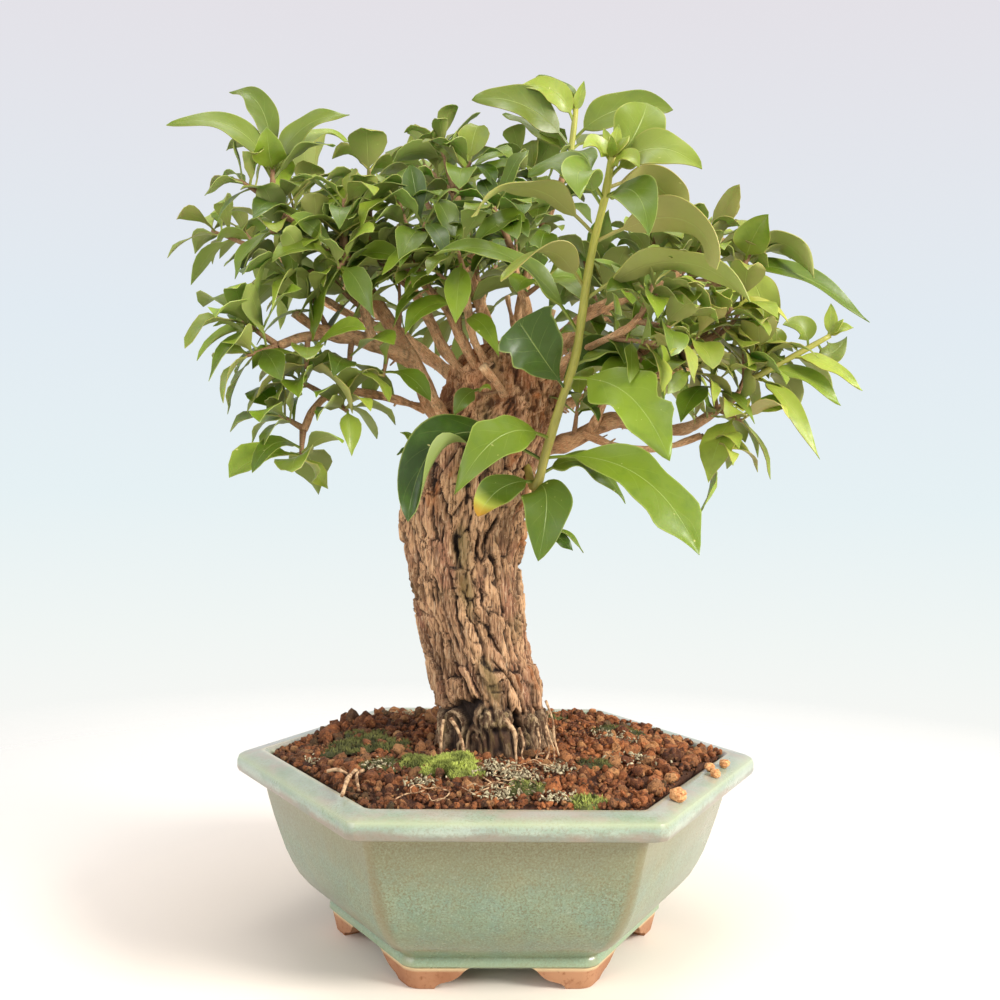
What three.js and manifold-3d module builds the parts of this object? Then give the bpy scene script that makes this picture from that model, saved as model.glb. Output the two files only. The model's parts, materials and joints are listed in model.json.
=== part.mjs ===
// A bougainvillea bonsai in a glazed six-sided pot: one old trunk with rough bark that leans to the left,
// a flat crown of leafy sprays, and one strong young shoot that rises in front of it.
// Millimetres, +Z up. The origin is the middle of the pot on the surface that it stands on, and a flat side
// of the pot faces -Y, the front.
import * as THREE from "three";
import Module from "manifold-3d";
import { mergeVertices } from "three/addons/utils/BufferGeometryUtils.js";

const wasm = await Module();
wasm.setup();
const V = (x, y, z) => new THREE.Vector3(x, y, z);
const UP = V(0, 0, 1);

// Driving dimensions
const POT_RADIUS = 120; // middle to corner, at the rim
const RIM_TOP = 83; // height of the rim's inner edge
const FLOOR_TOP = 18; // inside floor of the pot
const DRAIN_RADIUS = 13;
const GAP = 0.35; // between pieces that touch
const BLADE = 0.65; // thickness of a leaf
const STALK = 1.1; // thickness of a leaf at its foot

// Points of the tree are given as they are seen from the front: x and z on the upright plane through the
// pot's middle, and the distance that the point lies in front of that plane, along the line of sight.
const EYE = V(-23, -544, 215);
function seen(x, z, toward) {
  return V(x, 0, z).lerp(EYE, toward / -EYE.y);
}

// A small generator of random numbers from 0 to 1, the same on every run.
function dice(seed) {
  let state = (seed * 7919 + 12345) >>> 0;
  return () => {
    state = (Math.imul(state, 1664525) + 1013904223) >>> 0;
    return state / 4294967296;
  };
}

// Solids

function solidOf(geometry) {
  geometry.deleteAttribute("normal");
  geometry.deleteAttribute("uv");
  const merged = mergeVertices(geometry, 1e-4);
  return new wasm.Manifold(
    new wasm.Mesh({
      numProp: 3,
      vertProperties: new Float32Array(merged.attributes.position.array),
      triVerts: new Uint32Array(merged.index.array),
    }),
  );
}

function geometryOf(solid) {
  const mesh = solid.getMesh();
  const step = mesh.numProp;
  const positions = new Float32Array(mesh.numVert * 3);
  for (let i = 0; i < mesh.numVert; i++)
    positions.set(mesh.vertProperties.subarray(i * step, i * step + 3), i * 3);
  const geometry = new THREE.BufferGeometry();
  geometry.setAttribute("position", new THREE.BufferAttribute(positions, 3));
  geometry.setIndex(new THREE.BufferAttribute(new Uint32Array(mesh.triVerts), 1));
  geometry.computeVertexNormals();
  return geometry;
}

function surface(points, faces) {
  const geometry = new THREE.BufferGeometry();
  const positions = points.flatMap((p) => [p.x, p.y, p.z]);
  geometry.setAttribute("position", new THREE.Float32BufferAttribute(positions, 3));
  geometry.setIndex(faces.flat());
  return solidOf(geometry);
}

// A skin over rings of points, closed at both ends. Each ring runs anticlockwise round the way the rings go.
function loft(rings) {
  const count = rings[0].length;
  const points = rings.flat();
  const faces = [];
  for (let i = 0; i + 1 < rings.length; i++)
    for (let j = 0; j < count; j++) {
      const next = (j + 1) % count;
      const [a, b] = [i * count + j, i * count + next];
      faces.push([a, b, b + count], [a, b + count, a + count]);
    }
  const last = (rings.length - 1) * count;
  for (let j = 1; j + 1 < count; j++) {
    faces.push([0, j + 1, j]);
    faces.push([last, last + j, last + j + 1]);
  }
  return surface(points, faces);
}

// A tapering stem along straight pieces between the points, from radius r0 to r1
function stem(points, r0, r1, sides) {
  const rings = points.map((centre, i) => {
    const before = points[Math.max(0, i - 1)];
    const after = points[Math.min(points.length - 1, i + 1)];
    const along = after.clone().sub(before).normalize();
    const side = V(0.31, 0.95, 0.1).cross(along).normalize();
    const other = along.clone().cross(side);
    const radius = r0 + ((r1 - r0) * i) / (points.length - 1);
    return Array.from({ length: sides }, (_, j) => {
      const a = (2 * Math.PI * j) / sides;
      const out = side.clone().multiplyScalar(Math.cos(a)).addScaledVector(other, Math.sin(a));
      return centre.clone().addScaledVector(out, radius);
    });
  });
  return loft(rings);
}

// The point of a path of straight pieces that lies nearest to a place
function nearest(path, place) {
  let best = path[0];
  for (let i = 0; i + 1 < path.length; i++) {
    const point = new THREE.Line3(path[i], path[i + 1]).closestPointToPoint(place, true, V(0, 0, 0));
    if (point.distanceTo(place) < best.distanceTo(place)) best = point;
  }
  return best;
}

// Pot

// A hexagon with rounded corners: each corner is an arc of three points. A corner lies on +X.
function hexagon(radius, round, z) {
  const ring = [];
  const inset = round / Math.cos(Math.PI / 6);
  for (let k = 0; k < 6; k++)
    for (const turn of [-1, 0, 1]) {
      const corner = (k * Math.PI) / 3;
      const a = corner + (turn * Math.PI) / 6;
      ring.push(
        V(
          (radius - inset) * Math.cos(corner) + round * Math.cos(a),
          (radius - inset) * Math.sin(corner) + round * Math.sin(a),
          z,
        ),
      );
    }
  return ring;
}

// [radius at the corner, height, rounding of the corner]
const POT_OUTSIDE = [
  [74, 9.5, 7], [77.5, 10.5, 7], [77.5, 13, 7], [76.5, 14.5, 7], [83, 18, 9], [90, 24.5, 11], [96, 33, 12],
  [101, 46, 12], [105, 58, 11], [109, 71.5, 8], [118, 73, 6], [POT_RADIUS, 75, 6], [POT_RADIUS, 79, 6],
  [118.4, 81.2, 5],
];
const POT_INSIDE = [
  [107, RIM_TOP, 4], [104.5, 80, 4], [101.5, 68, 5], [94, 45, 6], [88, 33, 6], [80, 24, 6],
  [70, FLOOR_TOP, 6],
];
const FOOT_TOP = 10.4;
const FOOT_OUTER = [73, 76.5]; // corner radius at the ground and at the top
const FOOT_INNER = 53;
// Half of the opening between two feet, seen from a side: from the ground up to the pot's underside
const ARCH = [[27, -1], [26.4, 1.2], [24, 2.8], [20, 3.9], [16, 6.6], [12.5, 9.4]];

function arch() {
  const shape = new THREE.Shape();
  ARCH.forEach(([x, z], i) => (i ? shape.lineTo(x, z) : shape.moveTo(x, z)));
  [...ARCH].reverse().forEach(([x, z]) => shape.lineTo(-x, z));
  const prism = new THREE.ExtrudeGeometry(shape, { depth: 2 * POT_RADIUS, bevelEnabled: false });
  prism.translate(0, 0, -POT_RADIUS).rotateX(Math.PI / 2);
  return prism;
}

function makePot() {
  const body = loft([...POT_OUTSIDE, ...POT_INSIDE].map(([radius, z, round]) => hexagon(radius, round, z)));
  let feet = loft([
    hexagon(FOOT_OUTER[0], 6, 0),
    hexagon(FOOT_OUTER[1] - 0.4, 6, FOOT_TOP - 1.5),
    hexagon(FOOT_OUTER[1], 6, FOOT_TOP),
  ]);
  const core = new THREE.CylinderGeometry(FOOT_INNER, FOOT_INNER, 3 * FOOT_TOP, 18);
  core.rotateX(Math.PI / 2);
  feet = feet.subtract(solidOf(core));
  for (let k = 0; k < 3; k++) feet = feet.subtract(solidOf(arch().rotateZ((k * Math.PI) / 3)));
  const drain = new THREE.CylinderGeometry(DRAIN_RADIUS, DRAIN_RADIUS, 40, 20);
  drain.rotateX(Math.PI / 2).translate(0, 0, FLOOR_TOP - 10);
  return body.add(feet).subtract(solidOf(drain));
}

// The plastic mesh over the drain hole keeps the soil in.
const MESH_RADIUS = 20;
const MESH_THICK = 1.2;
const MESH_PITCH = 8.4;
const MESH_HOLE = 5.2;

function makeDrainMesh() {
  const plate = new THREE.CylinderGeometry(MESH_RADIUS, MESH_RADIUS, MESH_THICK, 20);
  plate.rotateX(Math.PI / 2).translate(0, 0, FLOOR_TOP + GAP + MESH_THICK / 2);
  let mesh = solidOf(plate);
  for (let i = -1; i <= 1; i++)
    for (let j = -1; j <= 1; j++) {
      const hole = new THREE.BoxGeometry(MESH_HOLE, MESH_HOLE, 4);
      hole.translate(i * MESH_PITCH, j * MESH_PITCH, FLOOR_TOP + 1);
      mesh = mesh.subtract(solidOf(hole));
    }
  return mesh;
}

// Trunk

// [x, y, z, half width, half depth] of level slices through the trunk, from its foot in the soil to the knob
const TRUNK = [
  [-1, 0, 50, 21, 20], [-1, 0, 72, 24.5, 23], [-1, 0, 85, 26, 24.5], [-2.5, 0, 95, 24.8, 23.5],
  [-5, 0, 110, 23.6, 22.5], [-10, 0, 130, 22.8, 21.5], [-14.5, 0, 150, 24.2, 22.5],
  [-17.6, 0, 170, 25.4, 23.5],
  [-17.8, 0, 190, 27.6, 25], [-15.5, 0, 207, 28, 26], [-8.5, 0, 226, 28, 26], [-2, 0, 243, 26.6, 25],
  [0.5, 0, 256, 24, 23], [0.5, 0, 264, 18.5, 18], [0.5, 0, 269, 11, 11], [0.5, 0, 271, 4, 4],
];
const TRUNK_SIDES = 26;
const TRUNK_RINGS = 24;
const SOIL_AT_TRUNK = 86;

// Half width, half depth and middle of the trunk at a height, on straight lines between the slices
function trunkAt(z) {
  let i = 0;
  while (i + 2 < TRUNK.length && z > TRUNK[i + 1][2]) i++;
  const [low, high] = [TRUNK[i], TRUNK[i + 1]];
  const t = (z - low[2]) / (high[2] - low[2]);
  return low.map((value, k) => value + (high[k] - value) * t);
}

// How far the bark stands out of the smooth trunk: long ridges that wander, broken across into plates
function bark(angle, z) {
  const wander = 0.9 * Math.sin(0.06 * z + 2 * angle) + 0.5 * Math.sin(0.13 * z - 3 * angle);
  const ridge = Math.abs(Math.sin(4.5 * angle + wander)) - 0.55;
  const plate = Math.sin(0.33 * z + 4 * Math.sin(3 * angle) + 2 * Math.sin(5 * angle + 1));
  return 2.3 * ridge + 0.8 * plate;
}

// The roots swell out of the trunk's foot in lobes.
function roots(angle, z) {
  const near = Math.exp(-(((z - 84) / 11) ** 2));
  return near * (1.5 + 2.6 * Math.sin(5 * angle + 0.6) + 1.2 * Math.sin(8 * angle));
}

function trunkRing(z, grow, relief) {
  const [x, y, , width, depth] = trunkAt(z);
  return Array.from({ length: TRUNK_SIDES }, (_, j) => {
    const a = (2 * Math.PI * j) / TRUNK_SIDES;
    const rough = relief ? bark(a, z) + roots(a, z) : roots(a, SOIL_AT_TRUNK - 6);
    const fade = relief ? Math.min(1, width / 20) : 1;
    const out = grow + rough * fade;
    return V(x + (width + out) * Math.cos(a), y + (depth + out) * Math.sin(a), z);
  });
}

function makeTrunk() {
  const low = TRUNK[0][2];
  const buried = [low, 66, SOIL_AT_TRUNK - 6].map((z) => trunkRing(z, 0, false));
  const top = TRUNK[TRUNK.length - 1][2];
  const shown = Array.from({ length: TRUNK_RINGS }, (_, i) =>
    trunkRing(SOIL_AT_TRUNK - 3 + ((top - SOIL_AT_TRUNK + 3) * i) / (TRUNK_RINGS - 1), 0, true),
  );
  return loft([...buried, ...shown]);
}

// The hole in the soil that the trunk's foot stands in: close round it below, wider where its bark begins.
// [height, room round the smooth foot]
const HOLE = [
  [TRUNK[0][2] - GAP, 0.5], [66, 0.5], [SOIL_AT_TRUNK - 6, 0.9], [SOIL_AT_TRUNK - 3, 3.1],
  [SOIL_AT_TRUNK + 30, 3.8],
];
function trunkHole() {
  return loft(
    HOLE.map(([z, room]) => {
      const low = Math.min(Math.max(z, TRUNK[0][2]), SOIL_AT_TRUNK - 3);
      return trunkRing(low, room, false).map((p) => V(p.x, p.y, z));
    }),
  );
}

// Branches: name, radius where it starts and where it ends, and its points as seen (x, z, toward)
const BRANCHES = [
  ["left_main", 4.5, 1.7, [-16, 224, 0], [-30, 236, 8], [-39, 256, 12], [-49, 273, 12], [-60, 290, 14],
    [-71, 304, 16], [-83, 312, 18], [-96, 321, 20], [-105, 331, 22]],
  ["left_level", 4, 1.7, [-43, 262, 12], [-55, 267, 20], [-67, 271, 24], [-79, 272, 28], [-92, 271, 32],
    [-103, 267, 36]],
  ["left_upright", 2.3, 1.5, [-61, 270, 22], [-64, 284, 24], [-69, 298, 28], [-73, 312, 32]],
  ["left_low", 1.8, 1.5, [-36, 240, 8], [-50, 244, 14], [-63, 246, 20], [-77, 247, 24], [-87, 238, 28],
    [-91, 229, 30]],
  ["stem_outer", 2.6, 1.6, [-14, 250, 10], [-27, 266, 16], [-35, 281, 18], [-43, 294, 18], [-53, 305, 18],
    [-62, 317, 16]],
  ["stem_middle", 2.2, 1.5, [-10, 254, 14], [-20, 272, 22], [-28, 286, 26], [-38, 298, 28], [-42, 310, 28]],
  ["stem_inner", 2.4, 1.5, [-6, 256, 14], [-14, 272, 24], [-17, 287, 30], [-19, 301, 36]],
  ["snag", 2.1, 1.7, [2, 242, 14], [-2, 250, 29], [-10, 260, 34]],
  ["top_left", 2.5, 1.5, [-4, 262, 0], [-12, 292, -4], [-18, 318, -2], [-24, 338, 2]],
  ["top_middle", 2.8, 1.6, [4, 262, 0], [8, 292, -6], [17, 322, -4], [25, 346, 2]],
  ["top_front", 2.2, 1.5, [6, 262, 10], [10, 284, 22], [5, 300, 28], [2, 314, 28]],
  ["right_upper", 3.1, 1.6, [12, 256, 0], [32, 280, -8], [58, 294, -8], [82, 300, -2], [101, 300, 4]],
  ["right_middle", 3, 1.6, [14, 250, 8], [38, 263, 14], [60, 270, 18], [80, 270, 20], [98, 276, 18]],
  ["right_low", 4.6, 1.7, [8, 220, 0], [30, 226, 2], [50, 236, 4], [68, 233, 6], [84, 233, 8], [100, 243, 10],
    [112, 252, 10]],
  ["right_lowest", 1.8, 1.5, [38, 230, 4], [50, 225, 12], [64, 223, 16], [78, 225, 18], [91, 230, 18]],
  ["front_right", 2.2, 1.5, [14, 254, 14], [36, 268, 34], [54, 277, 46], [62, 284, 50]],
  ["back_left", 3.4, 1.6, [-10, 246, -12], [-34, 262, -42], [-58, 276, -66], [-84, 288, -82]],
  ["back_far_left", 2.5, 1.5, [-27, 258, -36], [-60, 284, -46], [-86, 302, -52], [-112, 310, -54]],
  ["back_middle", 3.2, 1.6, [-2, 256, -12], [-10, 282, -40], [-16, 304, -68], [-20, 316, -84]],
  ["back_top", 2.3, 1.5, [-8, 276, -36], [-20, 306, -46], [-34, 328, -50]],
  ["back_right", 3.4, 1.6, [10, 252, -12], [30, 272, -42], [50, 286, -68], [62, 292, -84]],
  ["back_far_right", 2.5, 1.5, [26, 268, -40], [54, 292, -52], [80, 304, -56]],
  ["back_low_right", 2.5, 1.5, [12, 236, -14], [42, 248, -50], [74, 258, -70], [90, 262, -78]],
];

// Sprays: name, where its stem leaves the old wood and where it ends (x, z, toward), number of leaves,
// length of a leaf, and seed
const SPRAYS = [
  ["left_tip", [-112, 336, 23], [-121, 341, 25], 7, 25, 11],
  ["left_shelf", [-97, 314, 28], [-107, 318, 30], 7, 27, 13],
  ["left_inner", [-85, 305, 28], [-86, 318, 31], 8, 29, 15],
  ["left_crown", [-76, 318, 34], [-74, 334, 37], 9, 31, 16],
  ["left_high", [-66, 328, 10], [-63, 348, 10], 9, 32, 17],
  ["left_back", [-84, 322, -14], [-90, 338, -18], 8, 31, 18],
  ["middle_left", [-51, 318, 30], [-50, 336, 33], 9, 32, 19],
  ["left_hanging", [-66, 308, 36], [-76, 303, 46], 7, 33, 21],
  ["level_tip", [-108, 271, 38], [-119, 278, 41], 10, 33, 22],
  ["level_end", [-104, 262, 38], [-117, 262, 42], 8, 28, 23],
  ["level_under", [-88, 265, 34], [-90, 257, 38], 6, 31, 24],
  ["level_inner", [-69, 264, 28], [-71, 256, 33], 6, 29, 25],
  ["low_left_end", [-94, 231, 30], [-102, 236, 33], 9, 29, 27],
  ["low_left_tip", [-91, 222, 33], [-92, 215, 37], 6, 34, 28],
  ["low_left_inner", [-76, 241, 28], [-71, 238, 34], 7, 27, 29],
  ["low_left_upper", [-86, 251, 26], [-94, 252, 28], 6, 28, 30],
  ["upright_twig", [-80, 284, 26], [-89, 291, 28], 7, 27, 31],
  ["upright_side", [-88, 299, 34], [-101, 298, 39], 7, 31, 32],
  ["front_middle", [-19, 305, 42], [-22, 312, 52], 7, 38, 33],
  ["front_top", [-2, 320, 32], [-6, 332, 38], 8, 31, 34],
  ["top_left_front", [-19, 338, 12], [-17, 352, 16], 9, 31, 35],
  ["top_left_high", [-29, 347, 2], [-31, 360, 2], 9, 29, 36],
  ["top_left_back", [-30, 334, -16], [-38, 350, -22], 9, 31, 37],
  ["top_back", [6, 336, -16], [4, 354, -22], 8, 30, 38],
  ["top_inner", [12, 322, 8], [15, 334, 12], 7, 30, 39],
  ["centre_low", [14, 292, 30], [19, 300, 36], 6, 30, 40],
  ["right_crown", [62, 304, 2], [68, 322, 2], 9, 32, 41],
  ["right_front", [62, 288, 50], [68, 300, 54], 8, 31, 42],
  ["right_hanging", [66, 276, 46], [76, 279, 54], 8, 31, 43],
  ["right_high", [86, 306, -2], [90, 322, -2], 9, 32, 44],
  ["right_shoulder", [94, 284, 22], [104, 289, 26], 8, 31, 46],
  ["right_inner", [82, 262, 22], [88, 258, 28], 7, 29, 47],
  ["right_edge", [104, 262, 14], [110, 270, 18], 8, 30, 48],
  ["right_under", [94, 250, 18], [95, 256, 28], 7, 27, 49],
  ["right_low_end", [102, 239, 18], [110, 237, 22], 7, 31, 50],
  ["right_low_twig", [93, 226, 20], [100, 223, 22], 5, 29, 51],
  ["back_crown", [-38, 334, -54], [-44, 348, -60], 9, 32, 57],
  ["back_left_end", [-91, 292, -86], [-102, 298, -90], 9, 32, 53],
  ["back_left_side", [-62, 286, -74], [-64, 302, -80], 8, 32, 54],
  ["far_left_end", [-119, 313, -56], [-133, 318, -58], 9, 31, 55],
  ["back_end", [-22, 322, -90], [-26, 332, -98], 9, 32, 56],
  ["back_right_end", [66, 296, -90], [74, 304, -98], 9, 32, 58],
  ["back_right_side", [38, 292, -58], [34, 314, -66], 9, 32, 59],
  ["far_right_end", [88, 310, -58], [100, 320, -64], 9, 32, 60],
  ["back_low_end", [97, 264, -82], [110, 270, -88], 8, 31, 61],
];

// Shoots whose leaves are each given: name, points of the stem, radius at its foot and tip, and the leaves.
// A leaf is its foot, its bend and its tip (x, z, toward), its width, and how far its upper side is turned
// from the sky towards the viewer, in degrees.
const SHOOTS = [
  ["front_shoot", [[15, 205, 30], [20, 222, 34], [26, 243, 40], [32, 263, 48], [35, 283, 56], [37, 300, 64],
    [40, 318, 74], [44, 335, 84], [46, 347, 90], [47.5, 357, 94]], 2.2, 1.5, [
    [[18.5, 217, 33], [-37, 250, 44], [-43, 188, 60], 23, 45],
    [[21, 227, 36], [-2, 240, 62], [-22, 201, 66], 19, 60],
    [[16, 207, 31], [-2, 209, 44], [-11, 191, 54], 15, 55],
    [[15.5, 206, 31], [25, 208, 42], [17, 171, 50], 21, 78],
    [[19, 218, 34], [68, 226, 50], [92, 175, 62], 22, 52],
    [[17, 209, 32], [38, 228, 34], [57, 198, 36], 16, 30],
    [[28, 250, 43], [18, 263, 58], [6, 281, 64], 25, 74],
    [[29.5, 255, 45], [60, 258, 62], [77, 218, 78], 23, 62],
    [[31, 260, 47], [48, 272, 38], [64, 260, 30], 14, 12],
    [[33.5, 275, 53], [6, 324, 62], [-33, 310, 70], 15, 34],
    [[36.5, 295, 62], [20, 326, 76], [-3, 299, 88], 19, -4],
    [[36, 290, 60], [78, 326, 74], [113, 292, 86], 17, -28],
    [[40.5, 320, 75], [8, 356, 92], [-17, 328, 102], 18, -6],
    [[40, 317, 73], [88, 345, 88], [97, 306, 100], 20, -36],
    [[44.5, 337, 86], [62, 350, 108], [65, 321, 120], 16, 60],
    [[44.5, 336, 85], [28, 362, 108], [33, 337, 118], 15, 58],
    [[46, 345, 90], [64, 370, 100], [89, 352, 106], 17, 50],
    [[47, 353, 93], [60, 364, 94], [63, 381, 88], 20, 80],
    [[43.5, 333, 83], [26, 362, 76], [9, 346, 72], 15, 40],
    [[45.5, 341, 88], [68, 354, 82], [80, 328, 76], 18, -38],
  ]],
  ["top_shoot", [[27.5, 352, 3], [29, 362, 4], [30.5, 377, 5]], 1.7, 1.2, [
    [[28.5, 359, 4], [10, 386, 12], [-17, 380, 14], 17, 55],
    [[29, 362, 4], [46, 384, 6], [75, 378, 8], 18, 55],
    [[30, 370, 5], [24, 390, 8], [4, 387, 10], 12, 55],
    [[30.3, 374, 5], [27, 393, -2], [12, 391, -8], 9, 10],
    [[28, 356, 4], [12, 370, -8], [-3, 374, -14], 11, 30],
    [[28.5, 358, 4], [40, 370, -4], [48, 361, -10], 12, 20],
    [[28.3, 356, 3], [36, 362, 20], [38, 350, 30], 12, 10],
  ]],
  ["left_shoot", [[-106, 334, 24], [-106, 340, 25], [-106, 347, 25]], 1.6, 1.2, [
    [[-106, 342, 25], [-117, 374, 26], [-154, 365, 28], 13, 44],
    [[-106, 344, 25], [-107, 384, 18], [-126, 380, 16], 12, 50],
    [[-106, 346, 25], [-108, 352, 33], [-109, 365, 38], 14, 80],
    [[-106, 344, 25], [-97, 371, 28], [-72, 372, 30], 12, 44],
    [[-106, 343, 25], [-92, 370, 18], [-72, 360, 12], 12, 30],
    [[-106, 341, 25], [-118, 364, 18], [-127, 354, 12], 10, -10],
    [[-106, 341, 25], [-94, 360, 30], [-78, 358, 32], 12, 10],
  ]],
  ["right_shoot", [[113, 255, 12], [124, 262, 12], [138, 270, 12], [150, 277, 12]], 1.6, 1.2, [
    [[140, 271, 12], [140, 284, 14], [128, 282, 16], 12, 50],
    [[144, 274, 12], [150, 262, 8], [158, 277, 4], 11, 70],
    [[132, 267, 12], [148, 268, 16], [166, 252, 18], 9, 40],
    [[128, 264, 12], [122, 276, 20], [121, 279, 24], 13, 60],
    [[120, 259, 12], [138, 264, 14], [156, 245, 16], 13, 36],
    [[122, 260, 12], [132, 260, 4], [136, 242, -2], 14, -20],
    [[117, 257, 12], [130, 252, 22], [147, 220, 30], 10, 25],
    [[134, 268, 12], [142, 266, 0], [152, 252, -8], 11, 4],
  ]],
  ["right_crest", [[104, 304, 6], [109, 308, 7], [112, 315, 7]], 1.5, 1.1, [
    [[110, 310, 7], [112, 322, 16], [120, 332, 20], 16, 75],
    [[111, 313, 7], [112, 334, 0], [101, 326, -6], 9, 10],
    [[111, 312, 7], [128, 330, 8], [142, 303, 10], 15, -30],
    [[110, 309, 7], [124, 320, 2], [131, 312, -4], 12, -6],
    [[106, 306, 6], [128, 316, 4], [169, 284, 2], 15, 38],
    [[108, 308, 7], [96, 324, 12], [92, 312, 14], 12, 20],
    [[107, 307, 7], [122, 298, 18], [119, 268, 22], 17, 60],
  ]],
];

// Leaf

// Width of the blade along the leaf, as a share of its widest, for three and for two pairs of side points
const FINE_OUTLINE = [[0.3, 0.72], [0.54, 1], [0.78, 0.56]];
const PLAIN_OUTLINE = [[0.3, 0.94], [0.66, 0.86]];

// A thin solid blade: its midrib bends from foot to tip, its halves fold up from the midrib, and its edges
// wave. The foot is sunk in the stem. thicker and from are only for testing how clear the leaf is.
function blade(leaf, thicker = 0, from = 0) {
  const { foot, bend, tip, width, face, fold, wave, fine } = leaf;
  const rib = new THREE.QuadraticBezierCurve3(foot, bend, tip);
  const points = [];
  const put = (t, across, raise) => {
    const along = rib.getTangent(Math.min(t, 0.98));
    const side = along.clone().cross(face).normalize();
    const normal = side.clone().cross(along).normalize();
    const half = (t === from ? STALK : BLADE) / 2 + thicker;
    const centre = rib.getPoint(t).addScaledVector(side, across).addScaledVector(normal, raise);
    points.push(centre.clone().addScaledVector(normal, half), centre.clone().addScaledVector(normal, -half));
  };
  const outline = fine ? FINE_OUTLINE : PLAIN_OUTLINE;
  put(from, 0, 0);
  outline.forEach(([t, share], k) => {
    const half = (width / 2) * share + thicker;
    const ripple = wave * width * (k % 2 ? 1 : -1);
    put(t, -half, fold * half + ripple);
    put(t, 0, 0);
    put(t, half, fold * half - ripple);
  });
  put(1, 0, 0);
  // Point k has its upper copy at 2k and its lower copy at 2k + 1.
  const last = 1 + 3 * outline.length;
  const upper = [[0, 2, 1], [0, 3, 2]];
  for (let k = 0; k + 1 < outline.length; k++) {
    const [l, m, r] = [1 + 3 * k, 2 + 3 * k, 3 + 3 * k];
    upper.push([l, m + 3, l + 3], [l, m, m + 3], [m, r + 3, m + 3], [m, r, r + 3]);
  }
  upper.push([last - 3, last - 2, last], [last - 2, last - 1, last]);
  const edge = [0];
  for (let k = 0; k < outline.length; k++) edge.push(3 + 3 * k);
  edge.push(last);
  for (let k = outline.length - 1; k >= 0; k--) edge.push(1 + 3 * k);
  const faces = [];
  for (const [a, b, c] of upper) faces.push([2 * a, 2 * b, 2 * c], [2 * a + 1, 2 * c + 1, 2 * b + 1]);
  edge.forEach((a, i) => {
    const b = edge[(i + 1) % edge.length];
    faces.push([2 * a, 2 * a + 1, 2 * b + 1], [2 * a, 2 * b + 1, 2 * b]);
  });
  return surface(points, faces);
}

// Leaves of a shoot, as given
function givenLeaves(leaves, path) {
  return leaves.map(([foot, bend, tip, width, turn], i) => {
    const angle = THREE.MathUtils.degToRad(turn);
    const middle = seen(...bend);
    const towards = EYE.clone().sub(middle).normalize();
    const face = UP.clone().multiplyScalar(Math.cos(angle)).addScaledVector(towards, Math.sin(angle));
    const wave = 0.07 * (i % 2 ? 1 : -1);
    const root = nearest(path, seen(...foot));
    return { foot: root, bend: middle, tip: seen(...tip), width, face, fold: 0.22, wave, fine: true };
  });
}

// A spray is modelled with three of its leaves, every second one back from its end, which keeps it light.
function outer(leaf, i, all) {
  const back = all.length - 1 - i;
  return back % 2 === 0 && back < 6;
}

// Leaves of a spray, by rule: they stand round the stem in a spiral, lean outwards less towards its end,
// reach for the light and then bow.
const SPIRAL = THREE.MathUtils.degToRad(137.5);
function ruledLeaves([root, to], leafy, count, length, seed) {
  const roll = dice(seed);
  const along = to.clone().sub(root).normalize();
  const side = along.clone().cross(V(0.2, 0.3, 1)).normalize();
  const other = along.clone().cross(side);
  const start = roll() * 2 * Math.PI;
  const leaves = [];
  for (let i = 0; i < count; i++) {
    const share = count > 1 ? i / (count - 1) : 1;
    const around = start + i * SPIRAL + (roll() - 0.5) * 0.7;
    const lean = 0.15 + 0.75 * share + (roll() - 0.5) * 0.3;
    const reach = length * (0.78 + 0.34 * roll()) * (1 - 0.18 * share);
    const droop = 0.1 + 0.3 * roll();
    const width = reach * (0.46 + 0.12 * roll());
    const twist = (roll() - 0.5) * 0.8;
    const foot = to.clone().addScaledVector(along, -leafy * (0.78 - 0.74 * share));
    const out = along.clone().multiplyScalar(lean);
    out.addScaledVector(side, Math.cos(around)).addScaledVector(other, Math.sin(around));
    out.z = out.z * 0.75 + 0.12;
    out.normalize();
    const bend = foot.clone().addScaledVector(out, reach * 0.55);
    bend.z += reach * 0.2;
    const tip = foot.clone().addScaledVector(out, reach * 0.95);
    tip.z -= reach * (droop - 0.1);
    const face = UP.clone().addScaledVector(along, 0.35);
    face.addScaledVector(out.clone().cross(UP), twist);
    leaves.push({ foot, bend, tip, width, face, fold: 0.22, wave: 0.05 * (i % 2 ? 1 : -1), fine: false });
  }
  return leaves;
}

// A leaf swung round its foot by two angles and shortened, which is how one that meets its neighbour is
// bent clear
function bent(leaf, swing, lift, size) {
  const reach = leaf.tip.clone().sub(leaf.foot);
  const level = reach.clone().cross(UP).normalize();
  const turn = (p) =>
    p
      .clone()
      .sub(leaf.foot)
      .applyAxisAngle(level, lift)
      .applyAxisAngle(UP, swing)
      .multiplyScalar(size)
      .add(leaf.foot);
  return { ...leaf, bend: turn(leaf.bend), tip: turn(leaf.tip), width: leaf.width * size };
}

// Ways to bend a leaf clear, tried in turn: swing and lift in degrees, and size
const BENDS = [
  [0, 0, 1], [0, 12, 1], [0, -12, 1], [14, 0, 1], [-14, 0, 1], [16, 16, 1], [-16, 16, 1], [16, -16, 0.95],
  [-16, -16, 0.95], [0, 26, 0.95], [0, -26, 0.95], [30, 0, 0.95], [-30, 0, 0.95], [30, 24, 0.9],
  [-30, 24, 0.9], [30, -24, 0.9], [-30, -24, 0.9], [48, 10, 0.85], [-48, 10, 0.85], [0, 42, 0.85],
  [0, -42, 0.85],
  [60, 34, 0.8], [-60, 34, 0.8], [60, -34, 0.8], [-60, -34, 0.8], [85, 15, 0.75], [-85, 15, 0.75],
].map(([swing, lift, size]) => [(swing * Math.PI) / 180, (lift * Math.PI) / 180, size]);
const ROOM = 0.3; // each leaf is tested this much thicker on every side
const STALK_SHARE = 0.22; // part of a leaf, from its foot, that may touch its own stem
const TOUCH = 1e-3; // volume that two solids may share and still count as clear

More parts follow.
